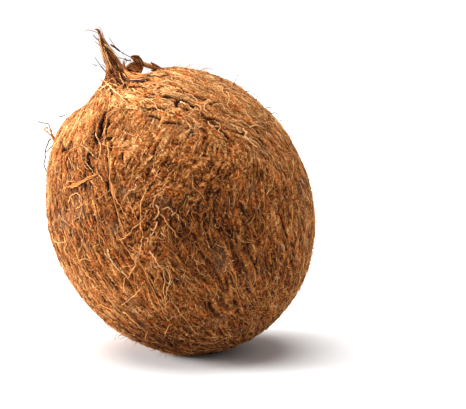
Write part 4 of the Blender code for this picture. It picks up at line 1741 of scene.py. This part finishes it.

# strands of the stub, the knot on it, the tip's curls and the roll under it, in mm in the nut's
# own frame: half width, tone, how far away from the front they lie, and the places they run
# through, across and along
# the darkest ones round the knot and down the sheaf lie in creases and gaps there, as painted shade
tuftStrands = [
    (0.33, 0.22, -0.8, [(4.5, 83.3), (5, 84.9), (5.2, 86), (4.7, 86.9), (3.8, 87.4)]),
    (0.18, 0.35, -0.6, [
        (4.2, 83.9), (4.2, 85.1), (3.4, 86.3), (2.1, 87.6), (0.9, 88.5), (-0.5, 88.6),
    ]),
    (0.26, 0.12, -1, [(2.9, 82.4), (2.6, 83.5), (2.2, 84.6), (2, 85.8)]),
    (0.18, 0.3, -0.4, [(2.5, 80), (2.2, 80.8), (1.7, 81.8), (1.4, 82.9)]),
    (0.2, 0.3, 0.3, [(8.5, 75.2), (7.9, 77.4), (7.7, 79.3), (7.5, 81.8)]),
    (0.2, 0.25, 0.2, [(8.5, 75.2), (7.5, 76.7), (7, 77.9), (6.8, 78.7)]),
    (0.22, 0.3, 0, [(9.2, 73.7), (10, 72.4), (11.1, 70.8), (12.1, 69.5), (13, 68.3)]),
    (0.19, 0.84, -3.2, [
        (4.4, 80.2), (4.9, 78.8), (5.7, 77.1), (6.4, 75.6), (6.7, 73.5), (7.2, 71.6),
        (7.3, 69.9), (7.2, 68), (7.5, 65.6), (8.2, 63.3), (9.5, 61.5), (10.7, 60.1),
    ]),
    (0.15, 0.84, -3, [
        (4.9, 79.7), (5.7, 78.1), (6.6, 76.2), (7.3, 74.2), (7.8, 72.3), (8.5, 70.9),
    ]),
    (0.2, 0.55, -1.5, [(6.8, 72.5), (7.7, 71.5), (8.8, 70.7), (8.8, 69.5), (8.2, 67.9), (8, 66.1)]),
    (0.22, 0.45, -1.2, [(9.1, 70.6), (9.7, 69.3), (10.8, 69), (11.6, 68.8)]),
    (0.24, 0.76, -4, [(3.9, 76.8), (3.5, 74.7), (3.1, 72.5), (2.7, 70.3), (2.5, 68.5)]),
    (0.34, 0.1, -2.2, [
        (12.2, 69.7), (13.5, 69.5), (14.9, 68.4), (15.5, 66.8), (15.6, 65.1), (15, 63.9),
    ]),
    (0.26, 0.12, -3.6, [(8.4, 66), (10.2, 66.6), (12.1, 66.5), (13.8, 66), (14.7, 64.9)]),
    (0.24, 0.72, -3.4, [(12.3, 66.5), (12.2, 65.3), (12.1, 64)]),
    (0.28, 0.08, -3.2, [(10.1, 64.6), (11.3, 63.2), (12.7, 62.1), (13.6, 62)]),
    (0.2, 0.45, -2.6, [(11.6, 68.6), (10.9, 67.5), (9.6, 66.7)]),
    (0.2, 0.4, -0.6, [(10.4, 69.3), (9.4, 69), (8.6, 68.4)]),
    (0.24, 0.38, -0.6, [(9.4, 70.5), (10.3, 69.1), (11.4, 68.1)]),
    (0.26, 0.08, -3, [(14.1, 66.2), (14.2, 64.3), (13.5, 62.8), (12.4, 62)]),
    (0.16, 0.8, -4.2, [(3.9, 79.1), (3.4, 76.6), (3.1, 73.9), (3.1, 71.1), (3.4, 68.4), (4.6, 66)]),
    (0.26, 0.08, -3.9, [(4.3, 77.9), (4.4, 74.9), (4.6, 71.7), (5.2, 68.5), (5.7, 66.3)]),
    (0.2, 0.5, -3.7, [(4.9, 76.4), (5.3, 73.5), (6.1, 70.4), (6.6, 67.6)]),
    (0.22, 0.3, -3.8, [(3.8, 78.6), (3.5, 75.6), (3.4, 72.3), (3.6, 69.8), (4.4, 67.5)]),
    (0.26, 0.74, -3.4, [(4.3, 83.9), (3.4, 81), (2.8, 77.9), (2.4, 74.8), (2, 71.6), (1.6, 68.9)]),
    (0.24, 0.7, -2.8, [(4.8, 84.6), (3.8, 82.2), (3.1, 79.7), (2.5, 76.6), (2.1, 73.4)]),
    (0.5, 0.34, 0.4, [(6.5, 78.7), (7.3, 77.4), (8.2, 75.6), (9.1, 73.9)]),
    (0.12, 0.55, 0.4, [(9.1, 73.9), (9.4, 72.9), (9.6, 71.8)]),
    (0.22, 0.22, 0, [(-0.6, 68.5), (-0.9, 69.9), (-1.3, 72), (-1.6, 74.1), (-2.1, 77.1)]),
    (0.2, 0.45, -0.5, [(1, 69.1), (0.5, 70.1), (-0.2, 71.5), (-0.6, 72.9)]),
    (0.22, 0.35, 0.2, [(-0.5, 67.4), (-1, 70.2), (-1.6, 72.4)]),
    (0.18, 0.5, 0.3, [(-2.7, 73), (-3.5, 73.8), (-3.9, 74.5)]),
    (0.26, 0.97, -0.5, [(-4.2, 68.6), (-3.9, 67.3), (-3.6, 65.6), (-3.7, 64)]),
    (0.22, 0.95, -1.5, [(-5.1, 67), (-4.1, 66.7), (-3.2, 65.7), (-2.5, 64.2)]),
    (0.2, 0.85, -1, [(-6.1, 66.2), (-4.9, 66.3), (-4, 65.2)]),
]


def rollFrame(places, t):
    # the middle line of a roll and its half width, with two directions square to the line: the
    # one across points left where the roll goes up
    line, reach = mm * smoothCurve(places, t), 0.01
    ahead = smoothCurve(places, np.minimum(t + reach, 1))[..., :3]
    behind = smoothCurve(places, np.maximum(t - reach, 0))[..., :3]
    heading = unitRows(ahead - behind)
    side = unitRows(np.cross(heading, forthAxis))
    return line[..., :3], line[..., 3], side, np.cross(side, heading)


def rolledPiece(name, rolls, values, material):
    # a round section is carried along each roll's line. Its half width is fluted by a noise that
    # runs along the roll, and the tone goes from the left one to the right one round the section.
    knots, around = values["knots"], values["around"]
    acrossScale, alongScale = values["fluteScale"]
    t = np.linspace(0, 1, knots)
    turn = np.linspace(0, 2 * math.pi, around + 1)[:-1]
    points, tones = [], []
    for number, ((left, middle, right), flat, places) in enumerate(rolls.values()):
        line, width, side, over = rollFrame(places, t)
        chart = np.stack(np.broadcast_arrays(
            acrossScale * np.cos(turn)[None, :] + 40.0 * number,
            acrossScale * np.sin(turn)[None, :],
            alongScale * t[:, None],
        ), axis=-1)
        coarse, fine = latticeNoise(chart, 41), latticeNoise(chart * values["fineScale"], 42)
        flutes = values["flute"] * coarse, values["fineFlute"] * values["flute"] * fine
        reach = width[:, None] * (1 + flutes[0] + flutes[1])
        spokes = (
            np.cos(turn)[None, :, None] * side[:, None, :]
            + flat * np.sin(turn)[None, :, None] * over[:, None, :]
        )
        ring = line[:, None, :] + reach[..., None] * spokes
        points.append(np.concatenate([line[:1], ring.reshape(-1, 3), line[-1:]]))
        tone = middle + (left - middle) * ramp(np.cos(turn), *values["toneEdge"])
        tone = tone + (right - middle) * ramp(-np.cos(turn), *values["toneEdge"])
        tone = tone[None, :] + values["toneNoise"] * (coarse + 1.2 * fine)
        tones.append(np.concatenate([[middle], tone.ravel(), [middle]]))
    here = np.arange(around)
    row, column = np.meshgrid(np.arange(knots - 1), here, indexing="ij")
    quads = 1 + gridQuads(row, column, knots, around)
    after, none = (here + 1) % around, 0 * here
    last = 1 + (knots - 1) * around
    caps = [none, 1 + here, 1 + after, last + after, last + here, none + last + around]
    capUv = [
        here + 0.5, none, here, none + 1, here + 1, none + 1,
        here + 1, none + knots, here, none + knots, here + 0.5, none + knots + 1,
    ]
    index = np.concatenate([quads.ravel(), np.stack(caps, -1).ravel()])
    totals = np.concatenate([np.full(len(quads), 4), np.full(2 * around, 3)])
    count, perRoll = len(points), len(points[0])
    uv = np.concatenate([gridCharts(row, column), np.stack(capUv, -1).reshape(-1, 2)])
    uv = uv / [around, knots + 1] * [0.96, 0.98] + [0.02, 0.01]  # a margin round each roll's chart
    uv = np.concatenate([(uv + [number, 0]) / [count, 1] for number in range(count)])
    corners = (index[None, :] + perRoll * np.arange(count)[:, None]).ravel()
    totals = np.tile(totals, count)
    points, starts = toWorld(np.concatenate(points)), faceStarts(totals)
    thing = newMesh(name, points, corners, starts, totals, uv, material)
    pointValues(thing, "tone", np.clip(np.concatenate(tones), 0, 1))
    return thing


def bundleStrands(values, places, flat, seed):
    # strands lie on a roll, keep their place round it as it tapers, wind slowly round it, and
    # splay where they end early
    rng = np.random.default_rng(seed)
    count, knots = values["strands"], values["knots"]
    finish = rng.uniform(values["shortest"], 1, count)[:, None]
    t = np.linspace(0, 1, knots)[None, :] * finish
    middle, width, side, front = rollFrame(places, t)
    wind = rng.uniform(0, 2 * math.pi, count)[:, None]
    wind = wind + rng.normal(*bundle["wind"], (count, 1)) * t
    away = rng.uniform(0, 1, count)[:, None] ** bundle["splayPower"]
    away = away * values["splay"] * (t / finish) ** bundle["splayGrows"]
    width = width * rng.uniform(*bundle["cover"], (count, 1)) + away + bundle["base"]
    offset = np.cos(wind)[..., None] * side + flat * np.sin(wind)[..., None] * front
    offset = offset + rng.normal(0, bundle["waver"], (count, knots, 3))
    radii = rng.uniform(*values["radius"], count)[:, None] * (1 - bundle["taper"] * t / finish)
    tones = rng.normal(values["tone"], values["toneSpread"], count)
    tones = tones + values["leftTone"] * np.maximum(0, np.cos(wind[:, 0])) ** 2
    pale = rng.random(count) < values["paleShare"]
    tones = np.where(pale, rng.uniform(*bundle["pale"], count), tones)
    return {
        "paths": toWorld(middle + offset * width[..., None]),
        "ups": offset @ leanTurn.T,
        "radii": radii,
        "tones": np.clip(tones, 0.05, 0.95),
        "lanes": rng.integers(*values["lanes"], count),
    }


def skirtStrands(values, seed):
    # strands come down the sheaf and spread over the coat: circles of growing radius round the
    # sheaf's foot, with a height that falls away from the foot
    rng = np.random.default_rng(seed)
    count, knots, foot = values["strands"], values["knots"], values["foot"]
    t = np.linspace(0, 1, knots)[None, :]
    finish = rng.uniform(*values["reach"], (count, 1))
    radius = foot + (finish - foot) * t ** values["spreads"]
    turn = rng.uniform(0, 2 * math.pi, (count, 1)) + rng.normal(0, values["wind"], (count, 1)) * t
    turn = turn + np.cumsum(rng.normal(0, values["wander"], (count, knots)), axis=1)
    across = values["centre"][0] + radius * np.cos(turn)
    forth = values["centre"][1] + radius * np.sin(turn)
    polar = np.arcsin(np.hypot(across, forth) / halfWidth)
    azimuth = np.arctan2(across, -forth)
    share, power = values["rises"]
    rise = rng.uniform(*values["rise"], (count, 1)) * np.maximum(0, 1 - t / share) ** power
    waver = rng.normal(0, values["waver"], (count, knots))
    heights = values["base"] + rise + waver - values["sinks"] * t**4
    radii = rng.uniform(*values["radius"], count)[:, None] * (1 - values["taper"] * t)
    tones = np.clip(rng.normal(values["tone"], values["toneSpread"], count), 0.05, 0.92)
    lanes = rng.integers(*values["lanes"], count)
    keep = np.ones(count, bool)
    for knot in range(3, knots):
        place = smoothShape(polar[:, knot], azimuth[:, knot])
        keep &= lineDepth(place, coatLines) < values["lineClear"]
    return chosen(laidStrands(polar, azimuth, heights, radii, tones, lanes), keep)


rope = {
    "knots": 18,
    "strands": 7,
    "thickFrom": 0.35,  # mm of half width; a thinner row is a single strand
    "away": 0.62,  # how far the strands lie from the line, and their own half width, as shares
    "share": 0.46,
    "ends": (0.08, 0.84),  # how the rope narrows: from where on a half wave, and over how much
    "waver": 0.00006,
    "taper": 0.4,
    "toneSpread": 0.08,
    "lanes": (1, 6),
}


def ropedStrands(rows, seed):
    # a thin row is one strand; a thick one is seven that wind round its line
    rng, knots = np.random.default_rng(seed), rope["knots"]
    t = np.linspace(0, 1, knots)
    start, run = rope["ends"]
    made = []
    for half, tone, forth, places in rows:
        line = mm * smoothCurve([(across, forth, along) for across, along in places], t)
        heading = unitRows(np.gradient(line, axis=0))
        side = unitRows(np.cross(heading, forthAxis))
        over = np.cross(side, heading)
        thick = half >= rope["thickFrom"]
        for strand in range(rope["strands"] if thick else 1):
            turn = 2 * math.pi * strand / rope["strands"] + rng.uniform(1, 4) * t
            away = mm * rope["away"] * half * thick * np.sin(math.pi * (start + run * t))
            offset = np.cos(turn)[:, None] * side + np.sin(turn)[:, None] * over
            waver = rng.normal(0, rope["waver"], (knots, 3))
            width = mm * half * (rope["share"] if thick else 1.0)
            made.append({
                "paths": toWorld(line + offset * away[:, None] + waver),
                "ups": np.tile(-forthAxis, (knots, 1)),
                "radii": width * (1 - rope["taper"] * t),
                "tones": np.clip(tone + rng.normal(0, rope["toneSpread"]), 0.04, 0.98),
                "lanes": rng.integers(*rope["lanes"]),
            })
    return {key: np.stack([row[key] for row in made]) for key in made[0]}


rollPiece = rolledPiece("tuftRolls", tuftRolls, rollDetail, rollFinish)
sheafSection = tuftRolls["sheaf"]
bundles = [bundleStrands(sheaf, sheafSection[2], sheafSection[1], 8)]
for number, name in enumerate(("knobTop", "knobLow", "trail", "knobArc")):
    bundles.append(bundleStrands(knob, tuftRolls[name][2], tuftRolls[name][1], 11 + number))
sheafPiece = strandPiece("tuftSheaf", joined(bundles), tuftFinish)
skirtPiece = strandPiece("tuftSkirt", skirtStrands(skirt, 9), tuftFinish)
stubPiece = strandPiece("tuftStub", ropedStrands(tuftStrands, 10), tuftFinish)
print("tuft made")

for piece in feltPieces:
    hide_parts("coconut")
for piece in [*feltPieces, *matPieces, *loosePieces, *curlPieces, foundPiece, standingPiece,
              rollPiece, sheafPiece, skirtPiece, stubPiece]:
    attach(piece, "root")

# floor and light
studio = {
    "floorSize": 12.0,
    "floorColour": 0.90,  # as the camera sees it
    "floorBounce": 0.64,  # and as it lights the nut
    "backdrop": 1.05,  # the white behind, as the camera sees it
    "skyStrength": 0.38,  # and as it lights the nut
    # a soft light overhead and one low at the left: from where, strength, and how wide
    "lights": {
        "overheadLight": ((-0.20, 0.02, 1.0), 3.9, math.radians(64)),
        "sideLight": ((-0.93, 0.02, 0.26), 5.7, math.radians(24)),
    },
}


def makeStudio(values):
    # an even sky, the two lights turned towards the nut, and a flat square floor. What the camera
    # sees of the sky and the floor is brighter than what they give the nut.
    world = bpy.data.worlds.new("studio")
    bpy.context.scene.world = world
    world.use_nodes = True
    tree = world.node_tree
    sky = tree.nodes["Background"]
    sky.inputs["Color"].default_value = (1, 1, 1, 1)
    seen = tree.nodes.new("ShaderNodeLightPath").outputs["Is Camera Ray"]
    more = values["backdrop"] - values["skyStrength"]
    strength = mathNode(tree, "MULTIPLY_ADD", seen, more, values["skyStrength"])
    tree.links.new(strength, sky.inputs["Strength"])
    for name, ((x, y, z), strength, spread) in values["lights"].items():
        data = bpy.data.lights.new(name, "SUN")
        data.energy = strength
        data.angle = spread
        light = bpy.data.objects.new(name, data)
        light.rotation_euler = (math.atan2(math.hypot(x, y), z), 0, math.atan2(x, -y))
        bpy.context.collection.objects.link(light)
    half = values["floorSize"] / 2
    mesh = bpy.data.meshes.new("floor")
    mesh.from_pydata(
        [(-half, -half, 0), (half, -half, 0), (half, half, 0), (-half, half, 0)], [], [(0, 1, 2, 3)]
    )
    floorFinish, tree, shader = newMaterial("floorPaper", 0.1)
    seen = tree.nodes.new("ShaderNodeLightPath").outputs["Is Camera Ray"]
    more = values["floorColour"] - values["floorBounce"]
    grey = greyNode(tree, mathNode(tree, "MULTIPLY_ADD", seen, more, values["floorBounce"]))
    linked(tree, shader.inputs["Base Color"], grey)
    shader.inputs["Roughness"].default_value = 0.9
    mesh.materials.append(floorFinish)
    floor = bpy.data.objects.new("floor", mesh)
    bpy.context.collection.objects.link(floor)
    bpy.context.scene.view_settings.view_transform = "Standard"
    bpy.context.scene.view_settings.look = "None"


makeStudio(studio)
